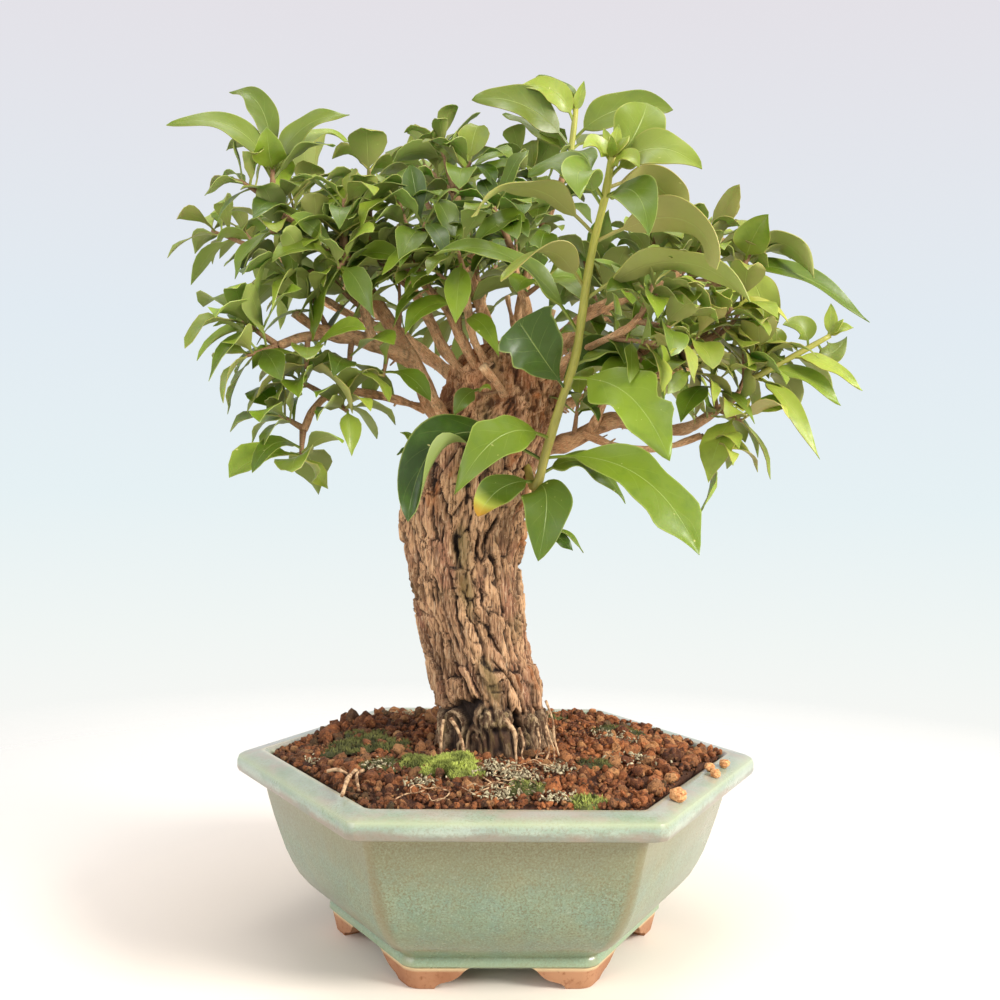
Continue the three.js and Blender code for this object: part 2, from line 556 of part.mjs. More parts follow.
const taken = []; // every solid that has its place: { node, solid, box }
function take(node, solid) {
  const box = solid.boundingBox();
  taken.push({ node, solid, box });
}
function meets(solid, isNear) {
  const box = solid.boundingBox();
  return taken.some(
    (other) =>
      isNear(other) &&
      [0, 1, 2].every((k) => box.min[k] < other.box.max[k] && box.max[k] > other.box.min[k]) &&
      solid.intersect(other.solid).volume() > TOUCH,
  );
}

// The first bend that is clear of everything outside the node, and of the node's own leaves beyond the stalk
function clearLeaf(node, leaf) {
  for (const [swing, lift, size] of BENDS) {
    const tried = bent(leaf, swing, lift, size);
    if (meets(blade(tried, ROOM), (other) => other.node !== node)) continue;
    const neighbour = (other) => other.node === node && other.leaf !== false;
    if (meets(blade(tried, ROOM, STALK_SHARE), neighbour)) continue;
    return tried;
  }
  return null;
}

// Soil

const SOIL_SIDES = 30;
const SOIL_RINGS = 10;

// Height of the soil, heaped a little towards the back left, without its grains
function mound(x, y) {
  const edge = Math.min(1, Math.max(Math.hypot(x, y) / 96, 0));
  const heap = 6.5 * Math.exp(-((x + 66) ** 2 + (y - 34) ** 2) / 900);
  return 81 + 5 * (1 - edge ** 3) + heap * (1 - edge ** 6);
}

function makeSoil() {
  const roll = dice(5);
  const inside = [...POT_INSIDE].reverse();
  const sides = inside
    .filter(([, z]) => z < 80)
    .map(([radius, z]) => [radius - 1.6, z === FLOOR_TOP ? z + GAP : z]);
  const point = (radius, a, z) => {
    const k = Math.floor(a / (Math.PI / 3) + 1e-9);
    const middle = (k + 0.5) * (Math.PI / 3);
    const r = (radius * Math.cos(Math.PI / 6)) / Math.cos(a - middle);
    return V(r * Math.cos(a), r * Math.sin(a), z);
  };
  const ring = (radius, height) =>
    Array.from({ length: SOIL_SIDES }, (_, j) => {
      const p = point(radius, (2 * Math.PI * j) / SOIL_SIDES, 0);
      p.z = height(p.x, p.y);
      return p;
    });
  const rings = sides.map(([radius, z]) => ring(radius, () => z));
  const brim = sides[sides.length - 1][0];
  for (let i = 0; i < SOIL_RINGS; i++) {
    const radius = brim * (1 - i / SOIL_RINGS);
    const grain = i === 0 ? 0.6 : 2.6;
    rings.push(
      ring(i === 0 ? brim : radius, (x, y) => mound(x, y) + (roll() - 0.5) * grain),
    );
  }
  const pocket = new THREE.CylinderGeometry(MESH_RADIUS + 1, MESH_RADIUS + 1, 4, 20);
  pocket.rotateX(Math.PI / 2).translate(0, 0, FLOOR_TOP + 2 * GAP + MESH_THICK - 2);
  return loft(rings).subtract(solidOf(pocket)).subtract(trunkHole());
}

// Loose grains of soil that lie on the rim: x, y and size
const LOOSE_GRAINS = [[68.4, -76.8, 3.9], [99.5, -24.6, 2.8], [90.8, -33.2, 2.9], [92, -39.6, 2.6]];

// The rim's top slopes down from its inner edge to its outer edge.
const RIM_EDGE = POT_OUTSIDE[POT_OUTSIDE.length - 1];
const HALF_SIDE = Math.cos(Math.PI / 6); // middle to side, as a share of middle to corner
const RIM_SLOPE = (RIM_TOP - RIM_EDGE[1]) / ((RIM_EDGE[0] - POT_INSIDE[0][0]) * HALF_SIDE);

// A grain rests flat on one of its faces.
function makeGrain([x, y, size], seed) {
  const roll = dice(seed);
  const shape = new THREE.IcosahedronGeometry(size, 0);
  const corner = (i) => V(0, 0, 0).fromBufferAttribute(shape.attributes.position, i);
  const down = new THREE.Triangle(corner(0), corner(1), corner(2)).getNormal(V(0, 0, 0));
  shape.applyQuaternion(new THREE.Quaternion().setFromUnitVectors(down, V(0, 0, -1)));
  shape.rotateZ(roll() * Math.PI).scale(1, 0.86, 0.8).rotateZ(roll() * Math.PI);
  shape.computeBoundingBox();
  shape.translate(0, 0, GAP - shape.boundingBox.min.z);
  const side = (Math.floor((Math.atan2(y, x) * 3) / Math.PI) + 0.5) * (Math.PI / 3);
  const away = x * Math.cos(side) + y * Math.sin(side);
  const normal = V(RIM_SLOPE * Math.cos(side), RIM_SLOPE * Math.sin(side), 1).normalize();
  shape.applyQuaternion(new THREE.Quaternion().setFromUnitVectors(UP, normal));
  shape.translate(x, y, RIM_TOP - (away - POT_INSIDE[0][0] * HALF_SIDE) * RIM_SLOPE);
  return solidOf(shape);
}

// Materials

const MATERIALS = {
  glaze: [0x8fae98, 0.28],
  drain_mesh: [0x24332a, 0.7],
  soil: [0x8a4a2b, 0.95],
  wood: [0x9a7250, 0.9],
  leaf: [0x5d8a2f, 0.45],
};
const materials = Object.fromEntries(
  Object.entries(MATERIALS).map(([name, [color, roughness]]) => [
    name,
    new THREE.MeshStandardMaterial({ color, roughness, metalness: 0 }),
  ]),
);

// Assembly

const bonsai = new THREE.Group();
function add(name, solid, material) {
  const mesh = new THREE.Mesh(geometryOf(solid), materials[material]);
  mesh.name = name;
  bonsai.add(mesh);
  return mesh;
}

// Old wood: the trunk and its branches
const TWIG = 1.5; // radius of a spray's stem at its foot
const trunkLine = TRUNK.filter(([, , z]) => z > 90 && z < 262).map(([x, y, z]) => V(x, y, z));
const woodLines = [trunkLine];
let wood = makeTrunk();
for (const [, r0, r1, ...points] of BRANCHES) {
  const line = points.map((p) => seen(...p));
  woodLines.push(line);
  wood = wood.add(stem(line, r0, r1, 5));
}
take("tree", wood);

function nearestWood(place) {
  const found = woodLines.map((line) => nearest(line, place));
  return found.reduce((best, p) => (p.distanceTo(place) < best.distanceTo(place) ? p : best));
}

// A young stem starts inside the wood's surface and is drawn out along its first piece until it is clear.
function youngStem(path, r0, r1) {
  const heading = path[1].clone().sub(path[0]).normalize();
  const from = (out) => path[0].clone().addScaledVector(heading, out);
  let out = 0.5;
  while (meets(stem([from(out), path[1]], r0, r0, 4), () => true)) out += 0.5;
  return stem([from(out + GAP), ...path.slice(1)], r0, r1, 4);
}

const growths = [
  ...SHOOTS.map(([name, points, r0, r1, leaves]) => {
    const path = points.map((p) => seen(...p));
    path.unshift(nearestWood(path[0]));
    return { name, path, r0, r1, leaves: givenLeaves(leaves, path) };
  }),
  ...SPRAYS.map(([name, base, end, count, length, seed]) => {
    const path = [nearestWood(seen(...base)), seen(...end)];
    const leafy = path[1].distanceTo(seen(...base));
    const leaves = ruledLeaves(path, leafy, count, length, seed).filter(outer);
    return { name: `spray_${name}`, path, r0: TWIG, r1: 0.9, leaves };
  }),
];
for (const growth of growths) {
  growth.stem = youngStem(growth.path, growth.r0, growth.r1);
  take(growth.name, growth.stem);
  taken[taken.length - 1].leaf = false;
}

// Given leaves keep their places as far as they can, and the others are bent round them.
const pot = makePot();
const soil = makeSoil();
take("pot", pot);
take("soil", soil);
for (const growth of growths) {
  growth.solid = growth.stem;
  for (const leaf of growth.leaves) {
    const clear = clearLeaf(growth.name, leaf);
    if (!clear) continue;
    const solid = blade(clear);
    take(growth.name, solid);
    growth.solid = growth.solid.add(solid);
  }
}

add("pot", pot, "glaze");
add("drain_mesh", makeDrainMesh(), "drain_mesh");
add("soil", soil, "soil");
LOOSE_GRAINS.forEach((grain, i) => add(`loose_grain_${i + 1}`, makeGrain(grain, 70 + i), "soil"));
add("tree", wood, "wood");
for (const growth of growths) add(growth.name, growth.solid, "leaf");

export default bonsai;
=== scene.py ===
# %% [markdown]
# # A bougainvillea bonsai in its pot
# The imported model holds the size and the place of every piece: a glazed pot, the soil, one old tree and its leafy
# stems. It has flat facets and few leaves. This notebook gives each piece its finer form and its finish, in the same
# places, and adds what is too small for the model: the grains of the soil, moss, hair roots and the rest of the leaves.

import json
import math
import random

import bpy
import numpy as np
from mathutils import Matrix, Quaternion, Vector
from mathutils.kdtree import KDTree

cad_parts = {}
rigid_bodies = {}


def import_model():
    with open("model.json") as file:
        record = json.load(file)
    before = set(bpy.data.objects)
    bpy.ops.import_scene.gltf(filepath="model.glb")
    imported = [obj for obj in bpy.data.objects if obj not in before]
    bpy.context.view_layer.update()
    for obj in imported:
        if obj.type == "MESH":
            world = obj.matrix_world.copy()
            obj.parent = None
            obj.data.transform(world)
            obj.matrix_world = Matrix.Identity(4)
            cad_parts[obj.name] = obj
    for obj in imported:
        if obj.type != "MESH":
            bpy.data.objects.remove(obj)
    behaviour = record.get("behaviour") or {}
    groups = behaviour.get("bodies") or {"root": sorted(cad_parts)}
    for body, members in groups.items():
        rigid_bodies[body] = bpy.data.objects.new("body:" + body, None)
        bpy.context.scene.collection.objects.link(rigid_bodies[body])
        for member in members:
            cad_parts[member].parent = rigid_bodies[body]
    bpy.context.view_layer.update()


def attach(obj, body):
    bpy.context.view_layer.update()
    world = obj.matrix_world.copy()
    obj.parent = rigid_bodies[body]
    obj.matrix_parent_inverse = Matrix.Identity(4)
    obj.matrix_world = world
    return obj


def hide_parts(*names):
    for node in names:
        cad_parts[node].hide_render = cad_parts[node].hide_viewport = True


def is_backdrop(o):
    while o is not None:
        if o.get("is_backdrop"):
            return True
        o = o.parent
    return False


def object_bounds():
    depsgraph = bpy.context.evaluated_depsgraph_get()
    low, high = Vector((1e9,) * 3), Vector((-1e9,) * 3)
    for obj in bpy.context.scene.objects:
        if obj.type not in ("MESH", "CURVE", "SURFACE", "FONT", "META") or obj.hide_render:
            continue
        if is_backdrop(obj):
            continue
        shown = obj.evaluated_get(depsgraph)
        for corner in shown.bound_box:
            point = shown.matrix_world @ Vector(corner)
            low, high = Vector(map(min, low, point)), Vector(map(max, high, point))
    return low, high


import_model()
MM = 0.001

# %% [markdown]
# ## The camera
# A camera at the photograph's place makes every later picture comparable with it. The eye stands a little to the
# left of the pot's front, somewhat above half of the tree's height, and the view leans by one degree.

# %% Place the camera
EYE = Vector((-23.1, -544.4, 215.4)) * MM
FORWARD = Vector((0.0406, 0.9987, -0.0306))
LEAN = math.radians(1.0)
FOCAL_SHARE = 1.1898  # focal length as a share of the picture's width

camera = bpy.data.objects.new("camera", bpy.data.cameras.new("camera"))
bpy.context.scene.collection.objects.link(camera)
camera.location = EYE
camera.rotation_mode = "QUATERNION"
camera.rotation_quaternion = FORWARD.to_track_quat("-Z", "Y") @ Quaternion((0, 0, 1), LEAN)
camera.data.sensor_width = 36
camera.data.lens = 36 * FOCAL_SHARE
camera.data.clip_start, camera.data.clip_end = 0.01, 50
bpy.context.scene.camera = camera
print("lens:", round(camera.data.lens, 1), "mm")

# %% [markdown]
# ## Finding a place by sight
# The tree was measured from the front. So its points are given as they are seen: x and z on the upright plane
# through the pot's middle, and how far the point lies in front of that plane along the line of sight.

# %% From what is seen to where it is
SIGHT = np.array([-23.0, -544.0, 215.0])  # the eye in whole millimetres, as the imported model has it


def seen(x, z, toward):
    start = np.array([x, 0.0, z])
    return start + (SIGHT - start) * (toward / -SIGHT[1])


def dice(seed):
    """Random numbers from 0 to 1 that are the same on every run, in the order that the leaves were rolled."""
    state = (seed * 7919 + 12345) & 0xFFFFFFFF

    def roll():
        nonlocal state
        state = (state * 1664525 + 1013904223) & 0xFFFFFFFF
        return state / 4294967296

    return roll


def unit(vector):
    return vector / np.linalg.norm(vector)


print("a point seen at the trunk's top:", seen(0, 260, 10).round(1))

# %% [markdown]
# ## Small helpers for modelling
# Operators act on whatever is selected, so each helper selects just what it needs first. A net is a flat grid with
# a UV map. Rolled up along a path it becomes a tube, and its UV map then follows the bark. Cut to a leaf's outline it
# becomes a blade. That one start serves the trunk, the branches, the stems and the leaves.

# %% Helpers for meshes
SAME_PLACE = 1e-6  # points nearer to each other than this, in metres, are merged


def deselect():
    bpy.ops.object.select_all(action="DESELECT")


def only(*objs):
    deselect()
    for obj in objs:
        obj.select_set(True)
    bpy.context.view_layer.objects.active = objs[0]


def edit(obj, mode="VERT", select="SELECT"):
    """Opens a mesh with all, with nothing (DESELECT) or with what was selected before (None)."""
    only(obj)
    bpy.ops.object.mode_set(mode="EDIT")
    bpy.ops.mesh.select_mode(type=mode)
    if select:
        bpy.ops.mesh.select_all(action=select)


def done():
    bpy.ops.object.mode_set(mode="OBJECT")


def edit_points(obj, chosen):
    """Opens a mesh with only those points selected for which chosen is true."""
    edit(obj, select="DESELECT")
    done()
    for vertex, picked in zip(obj.data.vertices, chosen):
        vertex.select = picked
    edit(obj, select=None)


def places(obj):
    co = np.empty(len(obj.data.vertices) * 3)
    obj.data.vertices.foreach_get("co", co)
    return co.reshape(-1, 3)


def move(obj, co):
    obj.data.vertices.foreach_set("co", np.ascontiguousarray(co, float).ravel())
    obj.data.update()


def weld(obj):
    edit(obj)
    bpy.ops.mesh.remove_doubles(threshold=SAME_PLACE)
    done()


def outward(obj):
    """Turns every face so that its front looks out."""
    edit(obj)
    bpy.ops.mesh.normals_make_consistent(inside=False)
    done()


def smooth(obj, angle=None):
    only(obj)
    if angle is None:
        bpy.ops.object.shade_smooth()
    else:
        bpy.ops.object.shade_smooth_by_angle(angle=math.radians(angle))


def apply_modifier(obj, kind, **settings):
    only(obj)
    modifier = obj.modifiers.new(kind.lower(), kind)
    for key, value in settings.items():
        setattr(modifier, key, value)
    bpy.ops.object.modifier_apply(modifier=modifier.name)


def join(name, objs):
    only(*objs)
    bpy.ops.object.join()
    objs[0].name = name
    objs[0].data.name = name
    return objs[0]


def net(name, across, along):
    """A flat net of squares from (0, 0) to (1, 1)."""
    bpy.ops.mesh.primitive_grid_add(x_subdivisions=across, y_subdivisions=along, size=1, location=(0.5, 0.5, 0))
    obj = bpy.context.object
    obj.name = name
    bpy.ops.object.transform_apply(location=True, rotation=True, scale=True)
    return obj


def ball(fineness):
    """A sphere of triangles with a radius of one unit."""
    deselect()
    bpy.ops.mesh.primitive_ico_sphere_add(subdivisions=fineness, radius=1)
    return bpy.context.object


def paint(obj, name, values):
    """Stores one colour of three numbers per vertex, which a material can read."""
    colours = np.ones((len(obj.data.vertices), 4), np.float32)
    colours[:, : values.shape[1]] = values
    layer = obj.data.color_attributes.new(name, "FLOAT_COLOR", "POINT")
    layer.data.foreach_set("color", colours.ravel())


def finish_piece(obj, slot, *nodes):
    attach(obj, "root")
    if nodes:
        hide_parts(*nodes)


trial = net("trial", 4, 6)
print("a net of 4 by 6 has", len(trial.data.polygons), "faces and", len(trial.data.vertices), "points")
bpy.data.objects.remove(trial)

# %% [markdown]
# ## Helpers for finishes
# Every finish here is made of noise and a few colours on Blender's one general shader. A short wrapper round the
# node tree lets each recipe be read from top to bottom.

# %% Helpers for materials


def rgb(red, green, blue):
    """A colour given as on a screen, from 0 to 255, turned into the light that it stands for."""
    return (*(((c / 255 + 0.055) / 1.055) ** 2.4 if c > 10 else c / 3295 for c in (red, green, blue)), 1.0)


class Finish:
    def __init__(self, name, **constants):
        self.material = bpy.data.materials.new(name)
        self.material.use_nodes = True
        self.tree = self.material.node_tree
        self.shader = self.tree.nodes["Principled BSDF"]
        for socket, value in constants.items():
            self.shader.inputs[socket.replace("_", " ")].default_value = value

    def add(self, kind, output=0, inputs=(), **settings):
        node = self.tree.nodes.new(kind)
        for key, value in settings.items():
            setattr(node, key, value)
        for key, value in dict(inputs).items():
            self.put(node.inputs[key], value)
        return node.outputs[output]

    def put(self, socket, value):
        if isinstance(value, bpy.types.NodeSocket):
            self.tree.links.new(value, socket)
        else:
            socket.default_value = value

    def object_place(self, scale=(1, 1, 1), kind="Object"):
        place = self.add("ShaderNodeTexCoord", kind)
        return self.add("ShaderNodeMapping", inputs={"Vector": place, "Scale": scale})

    def uv_place(self, scale):
        return self.object_place(scale, "UV")

    def axis(self, letter, place):
        return self.add("ShaderNodeSeparateXYZ", letter, {0: place})

    def noise(self, vector, scale, detail=4.0, roughness=0.55):
        inputs = {"Vector": vector, "Scale": scale, "Detail": detail, "Roughness": roughness}
        return self.add("ShaderNodeTexNoise", "Fac", inputs)

    def channels(self, attribute):
        colour = self.add("ShaderNodeAttribute", "Color", attribute_name=attribute)
        split = self.tree.nodes.new("ShaderNodeSeparateColor")
        self.put(split.inputs[0], colour)
        return split.outputs

    def number(self, operation, a, b=0.5):
        return self.add("ShaderNodeMath", inputs={0: a, 1: b}, operation=operation)

    def times(self, a, b):
        return self.number("MULTIPLY", a, b)

    def ramp(self, value, low, high, to_low=0.0, to_high=1.0):
        inputs = {"Value": value, "From Min": low, "From Max": high, "To Min": to_low, "To Max": to_high}
        return self.add("ShaderNodeMapRange", inputs=inputs)

    def mix(self, a, b, share):
        node = self.tree.nodes.new("ShaderNodeMix")
        node.data_type = "RGBA"
        self.put(node.inputs[0], share)
        self.put(node.inputs[6], a)
        self.put(node.inputs[7], b)
        return node.outputs[2]

    def colour(self, value):
        self.put(self.shader.inputs["Base Color"], value)

    def roughness(self, value):
        self.put(self.shader.inputs["Roughness"], value)

    def bump(self, height, strength, distance):
        inputs = {"Height": height, "Strength": strength, "Distance": distance}
        self.put(self.shader.inputs["Normal"], self.add("ShaderNodeBump", inputs=inputs))


print("screen grey 128 is light", round(rgb(128, 128, 128)[0], 3))

# %% [markdown]
# ## The pot
# The real pot is thrown or pressed clay: six gently swelling walls with soft corners, a broad overhanging rim, and
# six bracket feet that the glaze leaves bare. A hexagon whose corners are bevelled, extruded ring by ring and scaled
# at each ring, gives just such a wall. Bevelling before extruding rounds all the corners at once.

# %% The pot's body
# Corner radius and height of each ring, in millimetres
POT_OUTSIDE = [
    (74, 9.5), (76.6, 9.9), (77.5, 10.8), (77.5, 13), (76.4, 14.2), (77.4, 15.4), (83, 18.6), (87.4, 22.2),
    (91.6, 26.8), (95.2, 32.4), (98.2, 38.4), (101, 46), (103.4, 54), (105.4, 61), (107.2, 67.5), (108.6, 71.2),
    (110.4, 72.4), (117, 73.0), (119.2, 73.8), (120, 75.4), (120, 78.6), (119.2, 80.6), (117, 81.7), (110.5, 82.8),
]
POT_INSIDE = [
    (107.6, 83.0), (106, 82.2), (104.6, 80), (101.5, 68), (98, 56), (94, 45), (88, 33), (80, 24), (70, 18),
]
HALF_SIDE = math.cos(math.pi / 6)  # middle to side, as a share of middle to corner
CORNER_ROUND = 0.1  # rounding of a corner when it is first cut, as a share of the ring's radius
# Rounding in mm that a ring gets at the end: radius, height, rounding
ROUNDINGS = [(74, 9.5, 7), (83, 18.6, 8), (95, 32, 9), (101, 46, 9), (108.6, 71.2, 6.5), (110.4, 72.4, 5.5),
             (120, 75.4, 5), (120, 78.6, 5), (117, 81.7, 4.6), (110.5, 82.8, 4.2), (107.6, 83, 4), (104.6, 80, 4),
             (98, 56, 4.5), (88, 33, 6), (70, 18, 6)]
DRAIN_RADIUS = 13.0


def six_sided(name, rings, rounding, segments):
    """A body of six rounded corners, extruded from its first ring to its last; a ring has a radius and a height."""
    radius, height = rings[0]
    deselect()
    bpy.ops.mesh.primitive_circle_add(
        vertices=6, radius=radius * MM, fill_type="NGON", location=(0, 0, height * MM), rotation=(0, 0, math.pi / 6)
    )
    obj = bpy.context.object
    obj.name = name
    bpy.ops.object.transform_apply(location=True, rotation=True, scale=True)
    edit(obj)
    bpy.ops.mesh.bevel(offset=rounding * MM, segments=segments, profile=0.5, affect="VERTICES")
    bpy.ops.mesh.select_mode(type="FACE")
    bpy.ops.mesh.select_all(action="SELECT")
    for to_radius, to_height in rings[1:]:
        rise = (to_height - height) * MM
        bpy.ops.mesh.extrude_region_move(TRANSFORM_OT_translate={"value": (0, 0, rise)})
        share = to_radius / radius
        bpy.ops.transform.resize(value=(share, share, 1), center_override=(0, 0, to_height * MM))
        radius, height = to_radius, to_height
    done()
    outward(obj)
    return obj


def sharpen(obj):
    """Gives the corners of each ring the rounding listed for its radius and height."""
    co = places(obj) / MM
    turn = np.arctan2(co[:, 1], co[:, 0])
    corner = np.round(turn / (math.pi / 3)) * (math.pi / 3)
    aside = turn - corner
    reach = np.hypot(co[:, 0], co[:, 1])
    arc = CORNER_ROUND * math.sqrt(3)  # radius of the first rounding, as a share of the ring's radius
    middle = 1 - arc / HALF_SIDE
    on_arc = aside + np.arcsin(np.clip(middle * np.sin(aside) / arc, -1, 1))
    radius = reach * np.cos(aside) / (middle + arc * np.cos(on_arc))
    table = np.array(ROUNDINGS)
    distance = np.hypot(table[:, 0] - radius[:, None], table[:, 1] - co[:, 2:3])
    two = np.argsort(distance, axis=1)[:, :2]
    near = np.take_along_axis(distance, two, axis=1) + 0.01
    rounding = (table[two, 2] / near).sum(axis=1) / (1 / near).sum(axis=1)
    centre = radius - rounding / HALF_SIDE
    co[:, 0] = centre * np.cos(corner) + rounding * np.cos(corner + on_arc)
    co[:, 1] = centre * np.sin(corner) + rounding * np.sin(corner + on_arc)
    move(obj, co * MM)


pot = six_sided("glazed_pot", POT_OUTSIDE + POT_INSIDE, CORNER_ROUND * POT_OUTSIDE[0][0], 8)
sharpen(pot)
print("the pot's body has", len(pot.data.polygons), "faces")

# %% [markdown]
# The feet are what is left of a plain six-sided ring when an arch is cut through each of its sides. A Boolean
# modifier does such cuts: one cutter for the hollow middle, and three long bars that each cut two opposite arches.

# %% The pot's feet
FOOT_RINGS = [(73, 0), (73.8, 0.8), (76.2, 10.2)]  # corner radius and height
FOOT_ROUND = 4
FOOT_HOLLOW = 53.0
CUTTER_DEPTH = 40
# Half of an arch, seen from the side: out from its middle, and up from the ground
ARCH = [(27, -2), (26.9, 0.4), (26.2, 1.6), (24.6, 2.6), (22.4, 3.2), (20.2, 3.8), (18.2, 4.9), (16.4, 6.4),
        (14.9, 8.2), (13.2, 9.5), (11, 10.3)]


def cut(target, cutter):
    apply_modifier(target, "BOOLEAN", operation="DIFFERENCE", object=cutter, solver="EXACT")
    bpy.data.objects.remove(cutter)


def drill(target, radius, height, sides):
    """Cuts an upright round hole whose middle is at this height."""
    bpy.ops.mesh.primitive_cylinder_add(
        vertices=sides, radius=radius * MM, depth=CUTTER_DEPTH * MM, location=(0, 0, height * MM)
    )
    cut(target, bpy.context.object)


feet = six_sided("clay_feet", FOOT_RINGS, FOOT_ROUND, 6)
drill(feet, FOOT_HOLLOW, 0, 64)
whole_arch = ARCH + [(-x, z) for x, z in reversed(ARCH)]
for turn in range(3):
    mesh = bpy.data.meshes.new("arch")
    mesh.from_pydata([(x * MM, -0.12, z * MM) for x, z in whole_arch], [], [list(range(len(whole_arch)))])
    bar = bpy.data.objects.new("arch", mesh)
    bpy.context.scene.collection.objects.link(bar)
    edit(bar, "FACE")
    bpy.ops.mesh.extrude_region_move(TRANSFORM_OT_translate={"value": (0, 0.24, 0)})
    done()
    outward(bar)
    bar.rotation_euler.z = turn * math.pi / 3
    cut(feet, bar)
drill(pot, DRAIN_RADIUS, 10, 48)
apply_modifier(feet, "BEVEL", width=0.7 * MM, segments=3, limit_method="ANGLE", angle_limit=math.radians(40))
smooth(pot, 40)
smooth(feet, 40)
finish_piece(pot, "glaze", "pot")
finish_piece(feet, "glaze", "pot")
print("the feet have", len(feet.data.polygons), "faces")

# %% [markdown]
# ## Glaze and bare clay
# A celadon glaze is a thin coat of coloured glass over clay. It breaks: it is thinner and browner on edges, pools
# darker and greener lower down, and carries fine dark specks of iron. So the colour mixes two greens by broad noise,
# adds specks from a very fine one, turns lilac under the rim and gets pale stains on the rim's top. A painted
# highlight makes the rim's rounded upper edge and its inner lip pale.

# %% Mark the pot's corners and edges


def paint_corners(obj):
    """One share that is 1 on the six upright corners and 0 on the flat sides."""
    co = places(obj)
    turn = np.degrees(np.arctan2(co[:, 1], co[:, 0])) % 60
    share = np.exp(-((np.minimum(turn, 60 - turn) / 3.2) ** 2))
    paint(obj, "corner", np.stack([share, share * 0, share * 0], axis=1))


edit(pot, "FACE")
bpy.ops.mesh.quads_convert_to_tris()
bpy.ops.mesh.tris_convert_to_quads()
done()
paint_corners(pot)

# %% The glaze
glaze = Finish("celadon_glaze", Roughness=0.26, Coat_Weight=0.3, Coat_Roughness=0.1, IOR=1.48)
place = glaze.object_place()
height_now = glaze.axis("Z", place)
corner, _, _ = glaze.channels("corner")
cloud = glaze.noise(place, 26, 5, 0.62)
blot = glaze.noise(place, 95, 5, 0.7)
green = glaze.mix(rgb(94, 136, 116), rgb(116, 152, 130), glaze.ramp(cloud, 0.36, 0.62))
green = glaze.mix(green, rgb(98, 146, 136), glaze.ramp(blot, 0.46, 0.66, 0, 0.65))
warm = glaze.ramp(glaze.noise(place, 60, 4, 0.7), 0.44, 0.7, 0, 0.45)
under_lip = glaze.ramp(height_now, 0.056, 0.0705, 0, 0.75)
green = glaze.mix(green, rgb(142, 146, 110), glaze.number("MAXIMUM", warm, under_lip))
fine = glaze.noise(place, 1150, 3, 0.7)
dense = glaze.ramp(glaze.noise(place, 20, 3), 0.36, 0.66, 0.6, 1.0)
specks = glaze.times(glaze.ramp(fine, 0.49, 0.63), dense)
sides = glaze.mix(green, rgb(88, 78, 50), glaze.times(specks, 0.85))
pale = glaze.ramp(fine, 0.44, 0.33, 0, 0.5)
sides = glaze.mix(sides, rgb(176, 192, 172), pale)
sides = glaze.mix(sides, rgb(118, 104, 68), glaze.times(corner, 0.8))
low_down = glaze.ramp(height_now, 0.018, 0.012, 0, 0.5)
sides = glaze.mix(sides, rgb(146, 164, 130), low_down)
rim = glaze.ramp(height_now, 0.0712, 0.0742)
band = glaze.noise(glaze.object_place((1, 1, 3)), 30, 5, 0.7)
brim = glaze.mix(rgb(128, 168, 146), rgb(172, 196, 182), glaze.ramp(band, 0.4, 0.6))
brim = glaze.mix(brim, rgb(142, 170, 166), glaze.ramp(glaze.noise(place, 75, 4, 0.7), 0.5, 0.66, 0, 0.6))
wander = glaze.times(glaze.number("SUBTRACT", band, 0.5), 0.008)
skirt = glaze.ramp(glaze.number("ADD", height_now, wander), 0.0775, 0.0755)
lilac = glaze.mix(rgb(134, 120, 116), rgb(108, 128, 124), glaze.ramp(glaze.noise(place, 48, 3), 0.42, 0.6))
brim = glaze.mix(brim, lilac, glaze.times(skirt, 0.9))
brim = glaze.mix(brim, rgb(112, 100, 76), glaze.times(specks, 0.5))
on_top = glaze.ramp(height_now, 0.0795, 0.0815)
stain = glaze.ramp(glaze.noise(place, 34, 4, 0.7), 0.46, 0.62, 0, 0.75)
brim = glaze.mix(brim, rgb(178, 166, 160), glaze.times(on_top, stain))
# Painted highlight: a pale band along the rim's rounded upper edge, for the light that it reflects.
crest_highlight = glaze.times(glaze.ramp(height_now, 0.0785, 0.0803), glaze.ramp(height_now, 0.0822, 0.0806))
brim = glaze.mix(brim, rgb(186, 206, 160), glaze.times(crest_highlight, 0.6))
# Painted highlight: a thin pale line along the inner lip.
lip_highlight = glaze.ramp(height_now, 0.08285, 0.083, 0, 0.8)
brim = glaze.mix(brim, rgb(220, 220, 190), lip_highlight)
brim = glaze.mix(brim, rgb(140, 122, 96), glaze.times(corner, 0.45))
glaze.colour(glaze.mix(sides, brim, glaze.times(rim, 0.9)))
glaze.roughness(glaze.ramp(cloud, 0.3, 0.7, 0.24, 0.4))
glaze.bump(glaze.noise(place, 260, 4), 0.14, 0.0006)
pot.data.materials.append(glaze.material)

clay = Finish("bare_clay", Roughness=0.85)
place = clay.object_place()
grain = clay.noise(place, 500, 4, 0.6)
tint = clay.mix(rgb(146, 98, 66), rgb(170, 124, 90), clay.ramp(clay.noise(place, 40), 0.35, 0.65))
tint = clay.mix(tint, rgb(130, 82, 50), clay.ramp(grain, 0.54, 0.74))
cream = clay.ramp(clay.axis("Z", place), 0.0078, 0.0092)
clay.colour(clay.mix(tint, rgb(214, 196, 152), clay.times(cream, 0.7)))
clay.bump(grain, 0.25, 0.0004)
feet.data.materials.append(clay.material)
print("finishes:", glaze.material.name, clay.material.name)

# %% [markdown]
# ## Lumps without a picture
# Soil, bark and moss are rough at every size. A table of chance numbers on a lattice, smoothly joined between its
# points, gives lumps of any size in plain numbers, so the roughness can be real shape and not only shading.

# %% Smooth chance numbers in space


